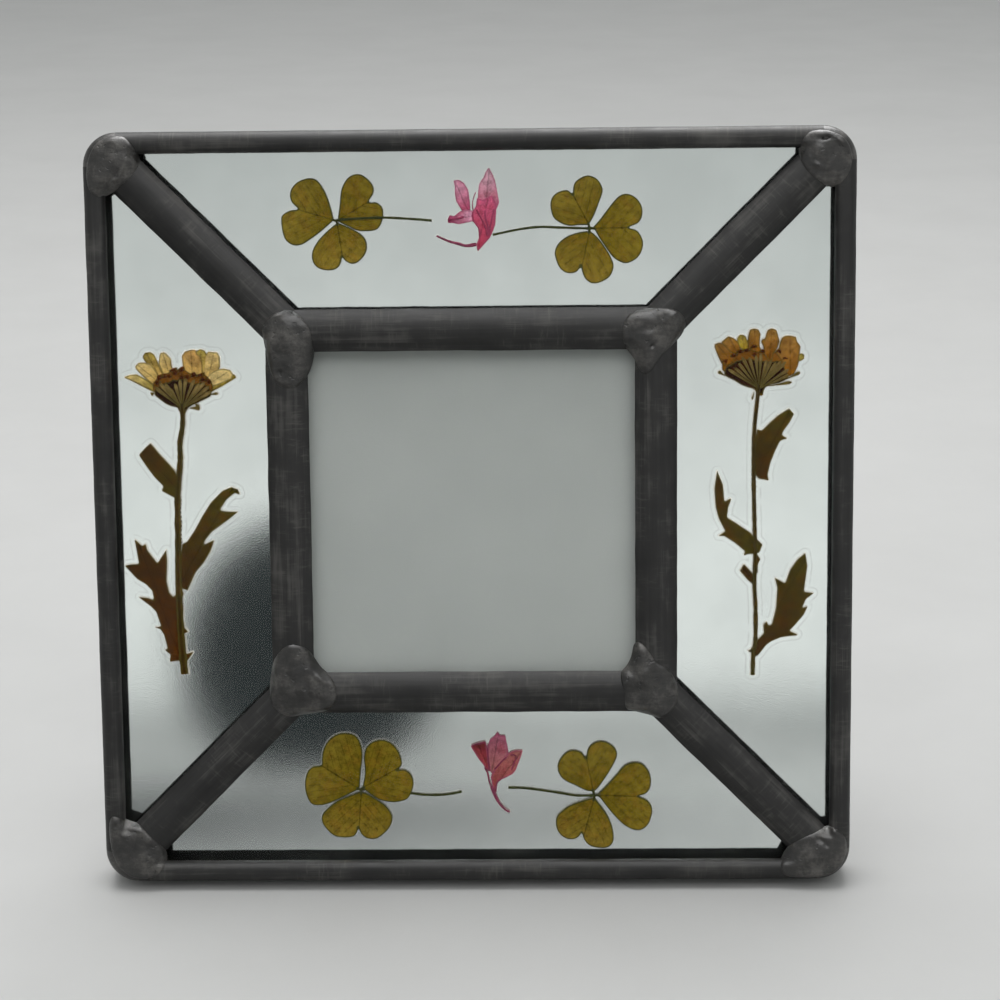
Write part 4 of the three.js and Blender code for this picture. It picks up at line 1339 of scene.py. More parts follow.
# Clovers: the leaflets' shared centre, each leaflet as (outline, base, tip), and the stalk's line.
CLOVERS = {
    "clover_top_left": {
        "centre": (-19.9, 43.7),
        "leaflets": (
            (((-20.4, 43.9), (-20.5, 44.8), (-21.1, 47), (-21.8, 48.6), (-22.6, 49.7), (-23.3, 50.1),
             (-24.3, 50.1), (-25.6, 49.6), (-26.5, 48.7), (-26.8, 47.6), (-26.5, 46.5), (-25.6, 45.6),
             (-26.8, 45.4), (-27.9, 44.8), (-28.2, 44), (-28, 42.1), (-27.5, 40.9), (-26.4, 40.2),
             (-25.2, 40.3), (-24, 41), (-22.3, 42.2), (-20.9, 43.4)),
             (-20.3, 43.9), (-27.2, 46)),
            (((-19.7, 44), (-19.4, 46.1), (-19.1, 48.4), (-18.3, 49.9), (-17.3, 50.6), (-16.1, 50.6),
             (-14.9, 49.7), (-14.3, 48.7), (-14.4, 47.7), (-15.1, 46.5), (-14, 46.5), (-13.1, 45.8),
             (-12.9, 44.6), (-13.3, 43.2), (-14, 42.4), (-15.4, 42.2), (-16.8, 42.3), (-18.1, 42.9),
             (-19.5, 43.6)),
             (-19.7, 43.9), (-13.2, 47.6)),
            (((-19.9, 43.4), (-21.2, 42.4), (-22.6, 41), (-23.5, 39.6), (-23.7, 38.4), (-23.4, 37.4),
             (-22.6, 36.7), (-21.2, 36.4), (-20, 36.7), (-19.4, 37.5), (-19.2, 38.5), (-18.8, 37.9),
             (-17.9, 37.4), (-17, 37.5), (-16, 38.4), (-15.5, 39.4), (-15.5, 40.6), (-16.1, 41.6),
             (-17.1, 42.3), (-18.5, 43), (-19.5, 43.4)),
             (-19.8, 43.4), (-19, 37.4)),
        ),
        "line": ((-19.9, 43.9), (-16.9, 44.1), (-13, 44.2), (-9.2, 44), (-5.7, 43.7)),
        "stalk_on_top": True,
    },
    "clover_top_right": {
        "centre": (17.8, 42.4),
        "leaflets": (
            (((17.7, 42.9), (18.5, 44.2), (19.2, 46), (19.8, 47.7), (19.6, 48.7), (19, 49.6), (18, 50.1),
             (17.2, 50.1), (16.2, 49.6), (15.6, 49), (15.4, 48.1), (15.4, 47.3), (14.8, 47.9), (14.1, 48),
             (13.1, 47.7), (12.3, 47), (12, 45.9), (12.2, 44.6), (12.6, 43.8), (13.6, 43.1), (14.9, 42.7),
             (16.1, 42.8), (17.3, 42.8)),
             (17.7, 42.9), (14.9, 48.2)),
            (((18.3, 42.4), (19.2, 43.4), (20.2, 44.7), (21.3, 46.1), (22.3, 47.1), (23.3, 47.4),
             (24.3, 47.1), (25.2, 46.3), (25.7, 45.1), (25.6, 43.9), (25, 43), (23.6, 42.4), (24.8, 42),
             (25.5, 41.1), (25.8, 40), (25.5, 38.7), (24.7, 37.7), (23.4, 37.1), (22.4, 37.3), (21.3, 38),
             (20.2, 39.5), (19.2, 41), (18.6, 42.1)),
             (18.4, 42.3), (25.4, 42.4)),
            (((17.7, 41.9), (16.5, 41.8), (15, 41.4), (13.9, 40.8), (13, 39.9), (12.6, 38.8),
             (12.8, 37.7), (13.4, 36.4), (14.5, 35.7), (15.7, 35.8), (16.3, 36.4), (16.5, 36.9),
             (16.7, 35.9), (17.1, 34.9), (18, 34.2), (19.1, 34.2), (20.4, 34.8), (21.1, 35.6),
             (21.4, 36.8), (21, 38), (20.4, 39.1), (19.2, 40.8), (18.1, 41.8)),
             (17.8, 41.9), (16.4, 35.4)),
        ),
        "line": ((17.8, 42.3), (15.5, 42.4), (13, 42.5), (10.5, 42.6), (7.5, 42.3), (3.4, 41.5)),
        "stalk_on_top": False,
    },
    "clover_bottom_left": {
        "centre": (-17.9, -43.5),
        "leaflets": (
            (((-18.1, -43.4), (-17.8, -40.4), (-17.5, -37.9), (-17.8, -36.1), (-18.6, -34.9),
             (-20, -34.5), (-21.6, -34.8), (-22.9, -35.9), (-23.6, -37.3), (-23.8, -38.6), (-23.9, -39.6),
             (-25.2, -39.8), (-26.1, -40.7), (-26.5, -42.2), (-26.4, -44), (-25.7, -45.6), (-24.5, -46),
             (-22.9, -45.7), (-21.5, -45.1), (-19.9, -44.3), (-18.5, -43.6)),
             (-18.1, -43.4), (-25.2, -38.8)),
            (((-17.6, -43.1), (-17.2, -40.8), (-17.3, -38.2), (-16.9, -36.8), (-15.9, -35.9),
             (-14.5, -35.6), (-13.2, -36), (-12.2, -37), (-11.6, -38.4), (-11.5, -39.7), (-12.3, -40.4),
             (-11.2, -40.3), (-10.2, -40.9), (-9.7, -42.2), (-9.9, -43.6), (-10.6, -44.9), (-11.8, -45.4),
             (-13.2, -45.5), (-15, -45.1), (-16.4, -44.2), (-17.4, -43.4)),
             (-17.6, -43.2), (-10.7, -39.3)),
            (((-17.9, -43.8), (-19.3, -44.3), (-21.3, -45.1), (-22.9, -46.3), (-23.9, -47.4),
             (-24, -48.5), (-23.3, -49.7), (-22.1, -50.8), (-20.5, -51.1), (-19.1, -50.9), (-18.5, -50.1),
             (-18.4, -49.4), (-17.9, -50.6), (-16.8, -51.3), (-15.4, -51.2), (-14, -50.1), (-13.2, -48.9),
             (-13.1, -47.6), (-13.9, -46.2), (-15.3, -45.1), (-16.7, -44.2)),
             (-17.8, -43.8), (-18.4, -51.2)),
        ),
        "line": ((-17.9, -43.5), (-15.6, -43.4), (-13, -43.8), (-10.4, -44.1), (-7.8, -44.4),
                 (-5.5, -44.4), (-3.7, -44.2), (-2.3, -43.9)),
        "stalk_on_top": False,
    },
    "clover_bottom_right": {
        "centre": (18.2, -44.5),
        "leaflets": (
            (((18, -43.9), (18.8, -43.3), (20.3, -41.1), (21.2, -39.5), (21.7, -38.2), (21.3, -37),
             (20, -36.1), (18.7, -36), (17.6, -36.6), (17.1, -37.5), (16.9, -38.7), (16.3, -37.8),
             (15.3, -37.4), (14.2, -37.5), (13.1, -38.5), (12.5, -39.8), (12.7, -41), (13.5, -42.1),
             (15.3, -43), (16.9, -43.8)),
             (18, -44), (16.6, -36.7)),
            (((18.6, -44.5), (19.9, -43.1), (21.6, -41.2), (22.8, -39.8), (24.3, -39.3), (25.6, -39.6),
             (26.5, -40.7), (26.9, -42), (26.7, -43.5), (25.9, -44.4), (24.9, -44.7), (26.2, -45.3),
             (27, -46.4), (27, -47.6), (26.5, -49.1), (25.5, -50), (24.4, -50.1), (22.9, -49.4),
             (21.5, -48.1), (20.1, -46.4), (19, -44.9)),
             (18.6, -44.5), (27, -44.8)),
            (((17.9, -44.9), (16.2, -45.4), (14.4, -46.1), (13, -47.1), (12.3, -48), (12.2, -49.2),
             (12.6, -50.4), (13.6, -51.3), (14.9, -51.5), (15.8, -51), (16.2, -50.4), (16.5, -51.5),
             (17.4, -52.5), (18.9, -52.9), (20.2, -52.8), (21, -52), (21.1, -50.7), (20.8, -49.2),
             (20.1, -47.6), (19.1, -46.1), (18.2, -45)),
             (18.1, -45), (16.2, -52)),
        ),
        "line": ((18.1, -44.6), (15.4, -44.6), (13, -44.2), (9.8, -43.7), (7.4, -43.4), (4.9, -43.3)),
        "stalk_on_top": False,
    },
}

# Pink flowers: petals as (outline, base, tip, colours from base to tip, clearness), creases as
# (line, width, colours), and the stalk's line.
PINK_FLOWERS = {
    "pink_flower_top": {
        "petals": (
            (((2.9, 51.5), (3.4, 50.6), (3.8, 49.6), (4, 48.6), (4.2, 47.4), (4.4, 46.3), (3.9, 45.1),
             (2.5, 44.8), (1.4, 45.5), (1.2, 46.9), (1.3, 48), (1.4, 48.9), (1.7, 49.5), (2.1, 50),
             (2.4, 50.8)),
             (2.3, 45.1), (3, 51.4), (PINK_ROSE, PINK_GREY), 0.3),
            (((0.1, 45.2), (-0, 46.7), (-0.2, 48.2), (-0.8, 49.2), (-1.6, 49.7), (-2.4, 49.6),
             (-2.2, 48.8), (-2.2, 47.6), (-2, 46.5), (-1.4, 45.5), (-1.1, 45)),
             (-0.3, 45.1), (-2.2, 49.5), (PINK_DEEP, PINK_PALE), 0.12),
            (((0.5, 45.1), (-0.7, 45.3), (-1.5, 45), (-2.4, 44.3), (-3, 44.5), (-3.3, 43.9), (-3.3, 43.3),
             (-2.5, 43.3), (-1.7, 43.1), (-0.7, 43.3), (0.4, 43.5), (1, 44.2)),
             (0.8, 44.3), (-3.3, 43.8), (PINK_PALE, PINK_MAGENTA), 0.08),
            (((1.1, 47), (2, 46.7), (3.4, 47.4), (4, 46.1), (3.9, 44.4), (3.8, 43.1), (3.5, 42.2),
             (3, 41.1), (2.1, 40.1), (1.1, 39), (0.9, 40.1), (1.3, 41), (1.4, 42.1), (1, 42.9),
             (0.4, 43.5), (0.2, 44.4), (0.5, 45.1), (0.9, 45.7)),
             (1.1, 39.2), (2.8, 47.2), (PINK_CRIMSON, PINK_ROSE), 0.05),
        ),
        "creases": (
            (((1, 45.3), (1.6, 44.2), (2.3, 42.7), (2.6, 41.4)), 0.3, (PINK_CRIMSON, PINK_CRIMSON)),
            (((2.3, 45.1), (2.4, 43.9), (2.7, 42.7), (2.7, 41.4)), 0.28, (PINK_DEEP, PINK_CRIMSON)),
            (((3.6, 45.3), (3.3, 43.9), (3, 42.6), (2.8, 41.4)), 0.28, (PINK_DEEP, PINK_CRIMSON)),
            (((0.5, 45.1), (0.4, 46.1), (0.6, 47), (0.9, 47.8)), 0.14, (STALK_DARK, PINK_PALE)),
            (((0.4, 44.9), (0.6, 43.6), (1.3, 42.5), (1.4, 41.3)), 0.22, (PINK_CRIMSON, PINK_CRIMSON)),
            (((-3.3, 43.8), (-2.6, 43.9), (-1.7, 44), (-0.9, 44.2)), 0.3, (PINK_MAGENTA, PINK_DEEP)),
        ),
        "line": ((0.9, 40.1), (-0.6, 39.9), (-1.7, 40.2), (-2.9, 40.5), (-3.9, 40.9), (-5, 41.4)),
    },
    "pink_flower_bottom": {
        "petals": (
            (((-0.8, -36.6), (-0.2, -36.3), (0.7, -36.2), (1.4, -35.9), (1.6, -36.4), (1.8, -37.8),
             (1.9, -38.9), (2, -39.9), (2.2, -40.8), (1.8, -40.6), (1.4, -40.2), (1, -39.5), (0.4, -38.8),
             (-0.2, -37.8), (-0.7, -37)),
             (2, -40.7), (0.3, -36.3), (ROSE_DEEP, ROSE_DARK), 0.0),
            (((1.9, -36.3), (2.2, -35.6), (2.9, -35.1), (3.3, -34.4), (3.7, -35), (4.5, -35),
             (4.6, -35.7), (4.8, -36.6), (5, -37.8), (4.6, -38.6), (3.8, -39.4), (3.1, -40.3),
             (2.5, -41.2), (2.1, -40.6), (1.9, -39.4), (1.8, -37.8)),
             (2.4, -41), (3.5, -34.7), (ROSE_DUSTY, ROSE_MAUVE), 0.08),
            (((5, -37.8), (5.5, -37.5), (6.3, -37.3), (7.2, -37.4), (6.9, -38.4), (6.5, -39.4),
             (6.1, -40.5), (5.6, -41.1), (4.7, -41.6), (3.8, -42), (3.3, -42.4), (3.1, -43.3), (3, -44.1),
             (2.7, -43.7), (2.4, -42.7), (2.2, -41.6), (2.9, -40.1), (3.8, -39.1), (4.6, -38.4)),
             (2.7, -43.3), (7, -37.5), (ROSE_DEEP, ROSE_DUSTY), 0.1),
        ),
        "creases": (
            (((2.8, -40.3), (3.5, -39.6), (4, -39), (4.6, -38.5)), 0.22, (ROSE_DARK, ROSE_DARK)),
            (((1.3, -40.1), (1.7, -40.8), (2, -42.3), (2.5, -43.6)), 0.26, (CUP_DARK, CUP_DARK)),
            (((1.8, -36.4), (1.8, -37.8), (1.9, -39.1), (2, -40.5)), 0.16, (ROSE_DARK, ROSE_DARK)),
            (((6.2, -38.3), (5.7, -38), (5.3, -38.1)), 0.22, (ROSE_DARK, ROSE_DARK)),
            (((6.3, -38.4), (5.8, -39.4), (5.4, -40.5)), 0.24, (ROSE_DARK, ROSE_DEEP)),
            (((3.8, -41.9), (3.3, -42.3), (3.1, -42.9), (3, -43.9)), 0.2, (CUP_DARK, CUP_DARK)),
            (((-0.7, -36.6), (0.4, -36.2), (1.4, -36)), 0.2, (ROSE_DARK, ROSE_DARK)),
        ),
        "line": ((2.3, -43.1), (2.7, -44.1), (3.2, -45.2), (3.8, -46.1), (4.5, -46.8), (5.1, -47.1)),
    },
}

# Daisies, seen from the side: petals and leaves as (outline, base, tip, colours from base to tip), loose
# bracts as (base, tip, width), and the stem's line from the head down.
DAISIES = {
    "daisy_left": {
        "neck": (-43.8, 15.8),
        "cup_top": (-43.7, 21.6),
        "cup": ((-48.2, 18.7), (-48.1, 19.8), (-47.4, 20.5), (-46.7, 21.1), (-45.7, 21.3), (-45.2, 21.9),
                (-44.5, 21.7), (-43.8, 22), (-43.3, 21.8), (-42.7, 21.3), (-41.7, 20.9), (-40.6, 21.2),
                (-39.8, 20.6), (-39.2, 19.8), (-39, 18.9), (-39.2, 18.3), (-40, 17.8), (-41.3, 17),
                (-42.2, 16.5), (-42.8, 16), (-43.2, 15.5), (-43.5, 14.7), (-44, 14.7), (-44.3, 15.5),
                (-44.6, 16.1), (-45.7, 16.4), (-46.5, 16.9), (-47.3, 17.7), (-47.9, 18.3)),
        "petals": (
            (((-52.6, 20.6), (-51.9, 20.9), (-51.1, 21), (-50.3, 20.6), (-49.5, 20.1), (-48.7, 19.3),
             (-48.3, 18.9), (-48.4, 18.7), (-49.2, 18.9), (-50.2, 19.4), (-51.3, 20), (-52.1, 20.4)),
             (-48.4, 18.8), (-52.6, 20.6), (PETAL_OLIVE, PETAL_TAN)),
            (((-50.7, 22.4), (-50.3, 22.8), (-49.5, 22.8), (-48.9, 22.7), (-48.3, 21.9), (-47.8, 21),
             (-47.5, 20.3), (-48.1, 20), (-48.8, 20.2), (-49.6, 20.9), (-50.3, 21.6), (-50.7, 22.1)),
             (-47.7, 20.2), (-50.6, 22.6), (PETAL_AMBER, PETAL_TAN)),
            (((-49.5, 23.9), (-49.2, 24.3), (-48.6, 24.4), (-48.1, 24.1), (-47.7, 23.2), (-47.4, 22.4),
             (-47, 21.6), (-47.2, 21.1), (-47.7, 20.7), (-48.2, 21.2), (-48.7, 22.1), (-49, 23),
             (-49.4, 23.5)),
             (-47.3, 21), (-49.1, 24.3), (PETAL_AMBER, PETAL_OLIVE)),
            (((-47, 23.7), (-46.9, 24.2), (-46.5, 24.4), (-46.1, 24.2), (-45.6, 23.6), (-45.5, 22.7),
             (-45.3, 22.1), (-44.9, 21.2), (-45.6, 20.8), (-46.3, 21.3), (-46.8, 22.2), (-47.1, 23)),
             (-45.6, 21), (-46.6, 24.4), (PETAL_AMBER, PETAL_TAN)),
            (((-41.3, 24.6), (-40.8, 24.8), (-40.3, 24.6), (-40, 24.1), (-40, 22.8), (-40.2, 21.6),
             (-40.7, 20.6), (-41.3, 20.4), (-41.7, 21.2), (-41.6, 22.5), (-41.5, 23.7)),
             (-41.1, 20.6), (-40.7, 24.8), (PETAL_AMBER, PETAL_OLIVE)),
            (((-43.4, 24), (-43, 24.5), (-42.3, 24.7), (-41.7, 24.7), (-41.5, 24.2), (-41.1, 24),
             (-40.9, 23), (-40.9, 21.8), (-41.3, 20.7), (-41.9, 20.6), (-42.7, 21), (-43.2, 21.6),
             (-43.3, 22.7)),
             (-42.1, 20.6), (-42.3, 24.7), (PETAL_AMBER, PETAL_ORANGE)),
            (((-40, 23.8), (-39.5, 24.4), (-38.9, 24.3), (-38.4, 24.3), (-38.1, 23.7), (-38.1, 22.6),
             (-38.5, 21.6), (-39.1, 20.6), (-39.9, 20.4), (-40.4, 20.9), (-40.3, 22.2), (-40.1, 23.2)),
             (-39.7, 20.4), (-38.8, 24.3), (PETAL_AMBER, PETAL_TAN)),
            (((-38.7, 21.3), (-38, 21.7), (-37.2, 21.8), (-36.4, 21.6), (-36, 21), (-36.2, 20.5),
             (-37, 20.2), (-38, 19.8), (-38.8, 19.6), (-39.3, 19.9), (-39.2, 20.7)),
             (-39.2, 19.8), (-36.3, 21.6), (PETAL_TAN, PETAL_TAN)),
            (((-38.9, 19.2), (-38.3, 19.8), (-37.4, 20.3), (-36.4, 20.7), (-35.8, 20.9), (-35.5, 20.5),
             (-36.2, 20.1), (-37.2, 19.5), (-38.2, 19), (-39, 18.5), (-39.4, 18.5)),
             (-39.2, 18.5), (-35.6, 20.7), (PETAL_OLIVE, PETAL_YELLOW)),
        ),
        "petal_growth": (1.3, 1.24),
        "petal_lift": -0.17,
        "bract_width": 0.62,
        "bract_tips": ((-47.9, 19.2), (-47.2, 19.8), (-46.3, 19.7), (-45.6, 19), (-44.8, 19.7),
                       (-44, 20.3), (-43.1, 20.5), (-41.8, 20.3), (-41, 19.7), (-40.2, 19.9),
                       (-39.5, 19.3), (-39.2, 18.5)),
        "loose_bracts": (
            ((-47.9, 18.3), (-48.5, 18), 0.7),
            ((-39.8, 17.9), (-38.3, 18.1), 0.5),
            ((-42.7, 15.9), (-41.1, 15.9), 0.8),
            ((-41.9, 16.7), (-41.3, 16), 0.7),
        ),
        "florets": ((-47.1, 20.6), (-46.3, 20.8), (-47.5, 19.8), (-43.7, 20.6), (-42.9, 20.6),
                    (-41.9, 21), (-40.9, 20.9), (-40.5, 20.2), (-39.7, 19.9), (-44.7, 21.3),
                    (-43.7, 21.8), (-45.7, 20.7), (-45, 21.7)),
        "stem": ((-43.8, 16.6), (-43.8, 13.5), (-44.3, 10.6), (-44.3, 8.4), (-44.5, 6.2), (-44.9, 2.2),
                 (-45, -3.9), (-45.1, -9.3), (-45.1, -13.1), (-45, -18.2), (-44.8, -22.1), (-44.6, -25.1)),
        "stem_width": 0.68,
        "stem_taper": 1.75,
        "stem_colours": (STEM_OLIVE, STEM_BROWN),
        "leaves": (
            (((-48.8, 10.6), (-47.5, 9), (-46, 7.3), (-45.1, 6.2), (-44.7, 4.7), (-44.8, 2.3),
             (-45.5, 2.3), (-46.4, 2.8), (-47.3, 3.3), (-47, 4), (-48.4, 5.5), (-49.6, 7.2), (-50.6, 8.8),
             (-49.7, 9.8)),
             (-44.7, 3.2), (-50.2, 9.4), (LEAF_OLIVE, LEAF_BROWN)),
            (((-44.4, -4.9), (-43.7, -4.6), (-42.5, -2.9), (-41.2, -0.6), (-39.9, 1.4), (-38.1, 3.2),
             (-36.7, 3.8), (-35.7, 3.4), (-35.4, 2.6), (-36.2, 2.9), (-37.5, 1.9), (-38.6, 0.2),
             (-37.2, -0), (-35.8, -0), (-37, -1), (-38.8, -2.3), (-39.8, -3), (-40.9, -4.3),
             (-41.2, -5.1), (-39.5, -4.3), (-40.1, -6), (-41.2, -7.8), (-42.5, -9.3), (-43.8, -12.1),
             (-44.5, -11.8), (-45.2, -12), (-44.9, -8)),
             (-44.9, -11.2), (-36.6, 3.4), (LEAF_BROWN, LEAF_OLIVE)),
            (((-51.7, -4.1), (-50.5, -5.2), (-50, -4.8), (-49.8, -5.8), (-48.3, -7.9), (-46.9, -5.8),
             (-46.8, -7.7), (-47, -10.6), (-46.6, -12.5), (-46, -13.1), (-44.7, -11.8), (-44.4, -12.7),
             (-45.4, -14.1), (-44.6, -15.2), (-44.6, -17.7), (-43.9, -18.5), (-44.6, -18.9),
             (-44.4, -21.3), (-44.3, -22), (-43.1, -21.6), (-44.1, -23), (-45.2, -23), (-46.9, -23.2),
             (-46.7, -22.1), (-47.6, -21.3), (-47.1, -21.2), (-47.6, -19), (-48.1, -18.1), (-49, -17.8),
             (-48, -17.7), (-48.7, -15.4), (-49.4, -14.6), (-51.3, -13.1), (-50, -13.2), (-49, -13.6),
             (-49.2, -12.1), (-50.1, -11.1), (-51.4, -10.3), (-53.3, -8.2), (-52.2, -8), (-51.1, -8),
             (-51.4, -5.9)),
             (-45.2, -22.6), (-50.6, -5.8), (LEAF_ORANGE, LEAF_BROWN)),
        ),
    },
    "daisy_right": {
        "neck": (43.1, 18.1),
        "cup_top": (43.1, 24),
        "cup": ((37.6, 21.8), (37.9, 22.7), (38.7, 23.1), (39.5, 23.9), (40.5, 24.1), (41.7, 24.3),
                (43, 23.9), (44.1, 23.8), (45.1, 23.6), (46.1, 23.9), (46.9, 23), (47.6, 21.8),
                (47.9, 20.5), (47.2, 19.8), (46.3, 19.3), (45.1, 19), (44.2, 18.5), (43.9, 18),
                (43.7, 17.1), (42.8, 17.1), (42.6, 17.9), (42.2, 18.2), (41.3, 18.5), (40.3, 19),
                (39.2, 19.9), (38.2, 20.5), (37.6, 21)),
        "petals": (
            (((37.6, 25.3), (38.1, 25.7), (38.5, 26.1), (39.2, 25.8), (39.7, 25.4), (40.1, 24.7),
             (40.3, 23.9), (39.7, 23.5), (39, 23.7), (38.3, 24.4), (37.8, 25)),
             (39.9, 23.5), (38.5, 26.1), (PETAL_RUSSET, PETAL_BROWN)),
            (((36.5, 24.9), (37, 25.1), (37.6, 25), (38.2, 24.4), (38.9, 23.6), (39.4, 23), (39.2, 22.2),
             (38.5, 21.8), (37.7, 22), (37.3, 22.7), (36.8, 23.8), (36.5, 24.5)),
             (39, 22.2), (36.7, 25), (PETAL_RUSSET, PETAL_BROWN)),
            (((39.9, 25.8), (40.3, 26.3), (40.6, 26.3), (41, 26.1), (41.2, 25.6), (41.5, 25),
             (41.4, 24.2), (40.9, 24), (40.3, 24.3), (40, 25)),
             (40.9, 24), (40.5, 26.4), (PETAL_YELLOW, PETAL_OLIVE)),
            (((41.7, 26.7), (41.9, 27.1), (42.4, 27.2), (42.9, 27.1), (43.2, 26.4), (43.1, 25.5),
             (43.1, 24.6), (43.4, 23.9), (42.9, 23.6), (42.2, 23.9), (41.6, 24.3), (41.5, 25.4)),
             (42.5, 23.7), (42.4, 27.2), (PETAL_RUSSET, PETAL_BROWN)),
            (((43.6, 25.3), (43.8, 25.7), (44.1, 25.6), (44.3, 26.5), (44.5, 27), (45, 27.2), (45.6, 27),
             (45.8, 26.2), (46, 25.3), (45.7, 24.3), (45.2, 23.5), (45.1, 22.6), (44.5, 22.6),
             (43.9, 23.5), (43.9, 24.5)),
             (44.7, 22.7), (45, 27.2), (PETAL_RUSSET, PETAL_BROWN)),
            (((46.4, 25.1), (46.7, 25.8), (47.2, 26.1), (47.7, 26.1), (48.5, 25.9), (48.6, 25.3),
             (49.1, 24.5), (49, 23.8), (48.9, 22.6), (48.8, 21.8), (48.3, 20.5), (47.6, 20.1), (47, 21.1),
             (46.8, 22.2), (46.1, 23.3), (45.8, 23.9), (46.3, 24.3)),
             (47.8, 20.2), (47.7, 26), (PETAL_RUSSET, PETAL_BROWN)),
            (((48.9, 23.2), (49.1, 23.2), (49.5, 23.4), (49.9, 23.2), (49.8, 22.6), (49.2, 22.3),
             (48.8, 22.2)),
             (48.9, 22.3), (49.8, 23.2), (PETAL_OLIVE, PETAL_OLIVE)),
        ),
        "petal_growth": (1.03, 1.16),
        "petal_lift": 0.06,
        "bract_width": 0.54,
        "bract_tips": ((38.4, 21.2), (39.4, 21.4), (40, 22.1), (40.5, 23.1), (41.6, 23), (42.6, 23.3),
                       (43.4, 23.6), (44.3, 22.6), (45, 22.6), (45.7, 22.2), (46.5, 22.4), (47.2, 22.3),
                       (47.6, 21.1), (48, 20.4)),
        "loose_bracts": (
            ((38.1, 20.1), (37, 20.8), 0.6),
            ((47.1, 19.5), (49.3, 20.6), 0.55),
            ((44.2, 18.5), (48.1, 19.1), 0.5),
            ((42.5, 18), (42.1, 16.5), 0.3),
        ),
        "florets": ((40.3, 23.8), (42.3, 24.5), (42.4, 23.2), (46.1, 23.7), (47.1, 22.8), (38.1, 22.3),
                    (39.3, 23.2), (43.7, 23.8), (41.2, 23.9)),
        "stem": ((43.1, 18.8), (42.9, 16.5), (42.5, 12.3), (42.4, 7.2), (42.5, 0.7), (42.6, -3.2),
                 (42.7, -7.5), (42.6, -11.7), (42.8, -15.4), (42.8, -20.3), (42.5, -22.3), (42.4, -25.7)),
        "stem_width": 0.58,
        "stem_taper": 1.1,
        "stem_colours": (STEM_MAROON, STEM_OLIVE),
        "leaves": (
            (((42.9, 12), (43.6, 11.8), (44.6, 12.8), (45.9, 14), (47.3, 14.9), (47.7, 15.1),
             (48.4, 14.3), (47.8, 13.1), (46.8, 11.7), (46.6, 11.1), (47.5, 10.6), (46.7, 10.4),
             (46.3, 10.2), (45.6, 8.7), (44.9, 6.9), (44.5, 5.1), (44.7, 4.2), (43.9, 4.4), (43.2, 4.5),
             (42.6, 5.2), (42.5, 9.5)),
             (42.7, 5), (47.8, 14.8), (LEAF_BROWN, LEAF_OLIVE)),
            (((36.9, 5.8), (37.8, 3.6), (38, 1), (39.1, 1.6), (38.6, 0.2), (38.4, -1.4), (39.7, -2.2),
             (41.9, -3.7), (42.7, -4.5), (43.8, -5.6), (43.3, -6.8), (42.5, -7), (41.6, -7), (40.9, -7.3),
             (41.2, -6.6), (39.7, -5.3), (38, -4.2), (37.1, -4.2), (38.2, -3.5), (37.2, -1.6),
             (36.7, 0.2), (36.5, 3)),
             (42.6, -6), (36.9, 5.5), (LEAF_OLIVE, LEAF_BROWN)),
            (((41, -8.5), (42.5, -10.2), (42.4, -11.7), (41.6, -11), (40.4, -9.6)),
             (42.5, -11.2), (40.8, -9), (LEAF_BROWN, LEAF_BROWN)),
            (((42.5, -7.3), (43, -7.1), (43.5, -7.8), (43.1, -8.6), (43.1, -10), (42.5, -10)),
             (42.8, -9.8), (43.2, -7.6), (LEAF_BROWN, LEAF_BROWN)),
            (((50.3, -6.9), (50.6, -8.9), (50.1, -12.9), (51.6, -13.1), (50.4, -14), (49.8, -15.5),
             (50.7, -15.1), (50.1, -16.4), (48.6, -18.2), (47.9, -18.9), (49.4, -19.6), (48, -19.7),
             (46.6, -19.9), (45.2, -20.5), (44.4, -21.1), (43.2, -22.7), (42.4, -23), (42.1, -21.7),
             (43.1, -20.3), (44.1, -19.3), (44, -17.9), (44.5, -17.4), (44.8, -18.1), (45.3, -17.9),
             (45.9, -15.4), (46.1, -12.3), (45.7, -10.7), (47.3, -11.6), (48, -9.5), (49.1, -7.9)),
             (42.6, -21.6), (50.4, -7.6), (LEAF_BROWN, LEAF_OLIVE)),
            (((42.7, -21.6), (41.6, -22), (42.7, -22.5)),
             (42.6, -22.1), (41.6, -22.1), (LEAF_BROWN, LEAF_BROWN)),
        ),
    },
}


# ---------------------------------------------------------------- the scene

CAME = came_finish()
SOLDER = solder_finish()
GLASS = glass_finish()
MIRROR = mirror_finish()
CARD = card_finish()
VELVET = velvet_finish()
STEEL = steel_finish()
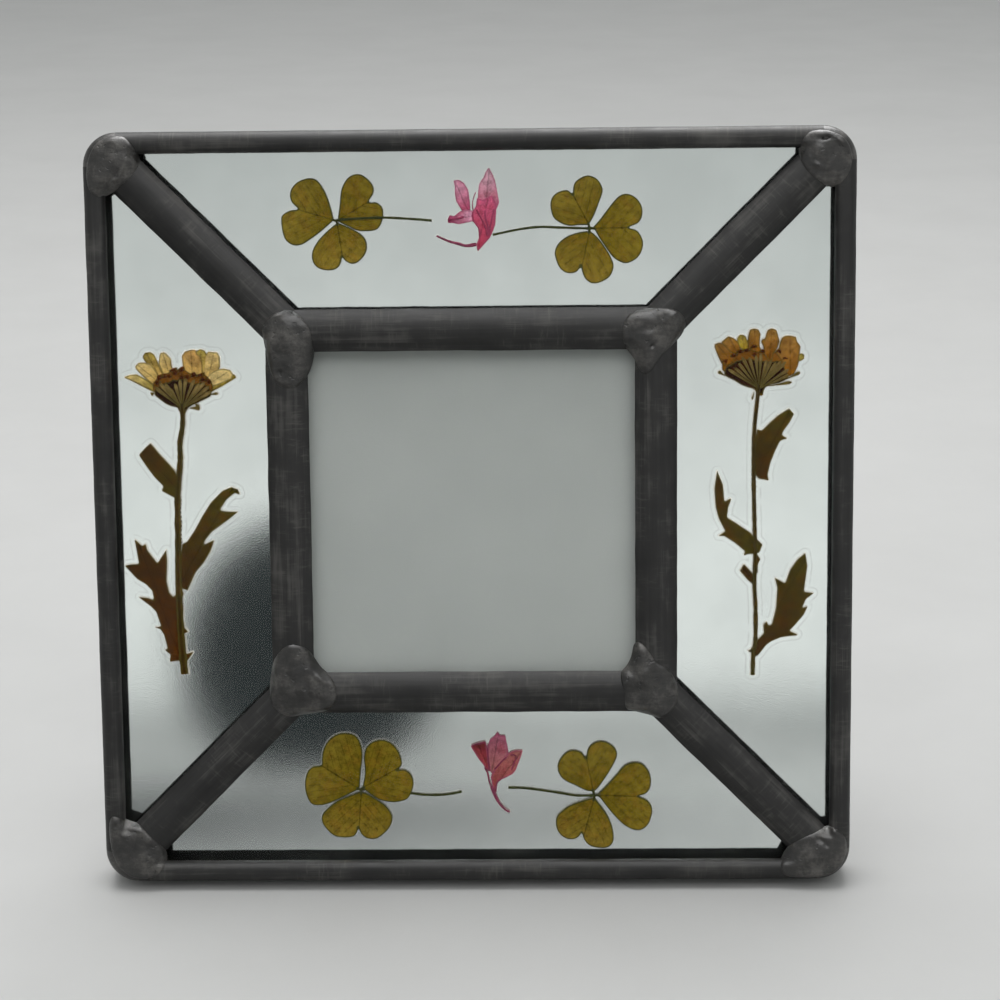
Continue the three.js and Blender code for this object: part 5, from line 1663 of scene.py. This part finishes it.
# Each film: how much painted glow its milky halo carries, and how strong the painted shade at its fold is.
CLOSE_FILM = film_finish("close covering film", painted_glow=0.08, fold_shade_share=0.0)
LIFTED_FILM = film_finish("lifted covering film", painted_glow=0.3, fold_shade_share=0.045)
CLOVER = plant_finish(
    "dried clover", CLOVER_RIM, rim_share=0.85, rim_depth=0.3,
    vein_shade=0.45, vein_step=1.5, patch_seen=CLOVER_RUSSET,
)
PINK = plant_finish(
    "dried pink petal", PINK_RIM, rim_share=0.6, rim_depth=0.34,
    vein_shade=0.26, vein_step=0.6, patch_seen=PINK_CRIMSON,
)
DAISY = plant_finish(
    "dried daisy", PETAL_RIM, rim_share=0.65, rim_depth=0.28,
    vein_shade=0.3, vein_step=1.2, patch_seen=LEAF_RUSSET,
)

camera()
stage_floor()
studio()
dark_card()
floor_shade()

for index, side in enumerate(SIDES):
    outer_came(index, side)
    window_came(index, side)
for index, corner in enumerate(CORNERS):
    diagonal_came(index, corner)
    outline = round_outline(CORNER_CENTRE, REAR_OUTER_JOINT["radius"], index, index)
    joint(f"outer_joint_back_{corner}", outline, REAR_OUTER_JOINT["swell"], (), index + 11, index, back=True)
    outline = round_outline(REAR_WINDOW_JOINT["centre"], REAR_WINDOW_JOINT["radius"], index, index + 4)
    joint(f"window_joint_back_{corner}", outline, REAR_WINDOW_JOINT["swell"], (), index + 21, back=True)
for seed, (name, (outline, swell, marks)) in enumerate(FRONT_JOINTS.items()):
    index = CORNERS.index(name.split("front_")[1])
    joint(name, outline, swell, marks, seed, index if name.startswith("outer") else None)

for name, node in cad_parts.items():
    if name.startswith(("clear_pane", "window_glass")):
        node.material_slots[0].material = GLASS.material
        node.visible_shadow = False
    elif name.startswith("mirror_pane"):
        node.material_slots[0].material = MIRROR.material
    elif name == "insert_card":
        node.material_slots[0].material = CARD.material

for name, spec in CLOVERS.items():
    clover(name, spec)
for name, spec in PINK_FLOWERS.items():
    pink_flower(name, spec)
for name, spec in DAISIES.items():
    daisy(name, spec)

backing_board()
for level, y in (("upper", CLIP_Y), ("lower", -CLIP_Y)):
    backing_clip(f"backing_clip_{level}_right", 1, y)
    backing_clip(f"backing_clip_{level}_left", -1, y)
hinge_leaf()
hinge_pin()
rivet("hinge_rivet_left", -1)
rivet("hinge_rivet_right", 1)
strut()
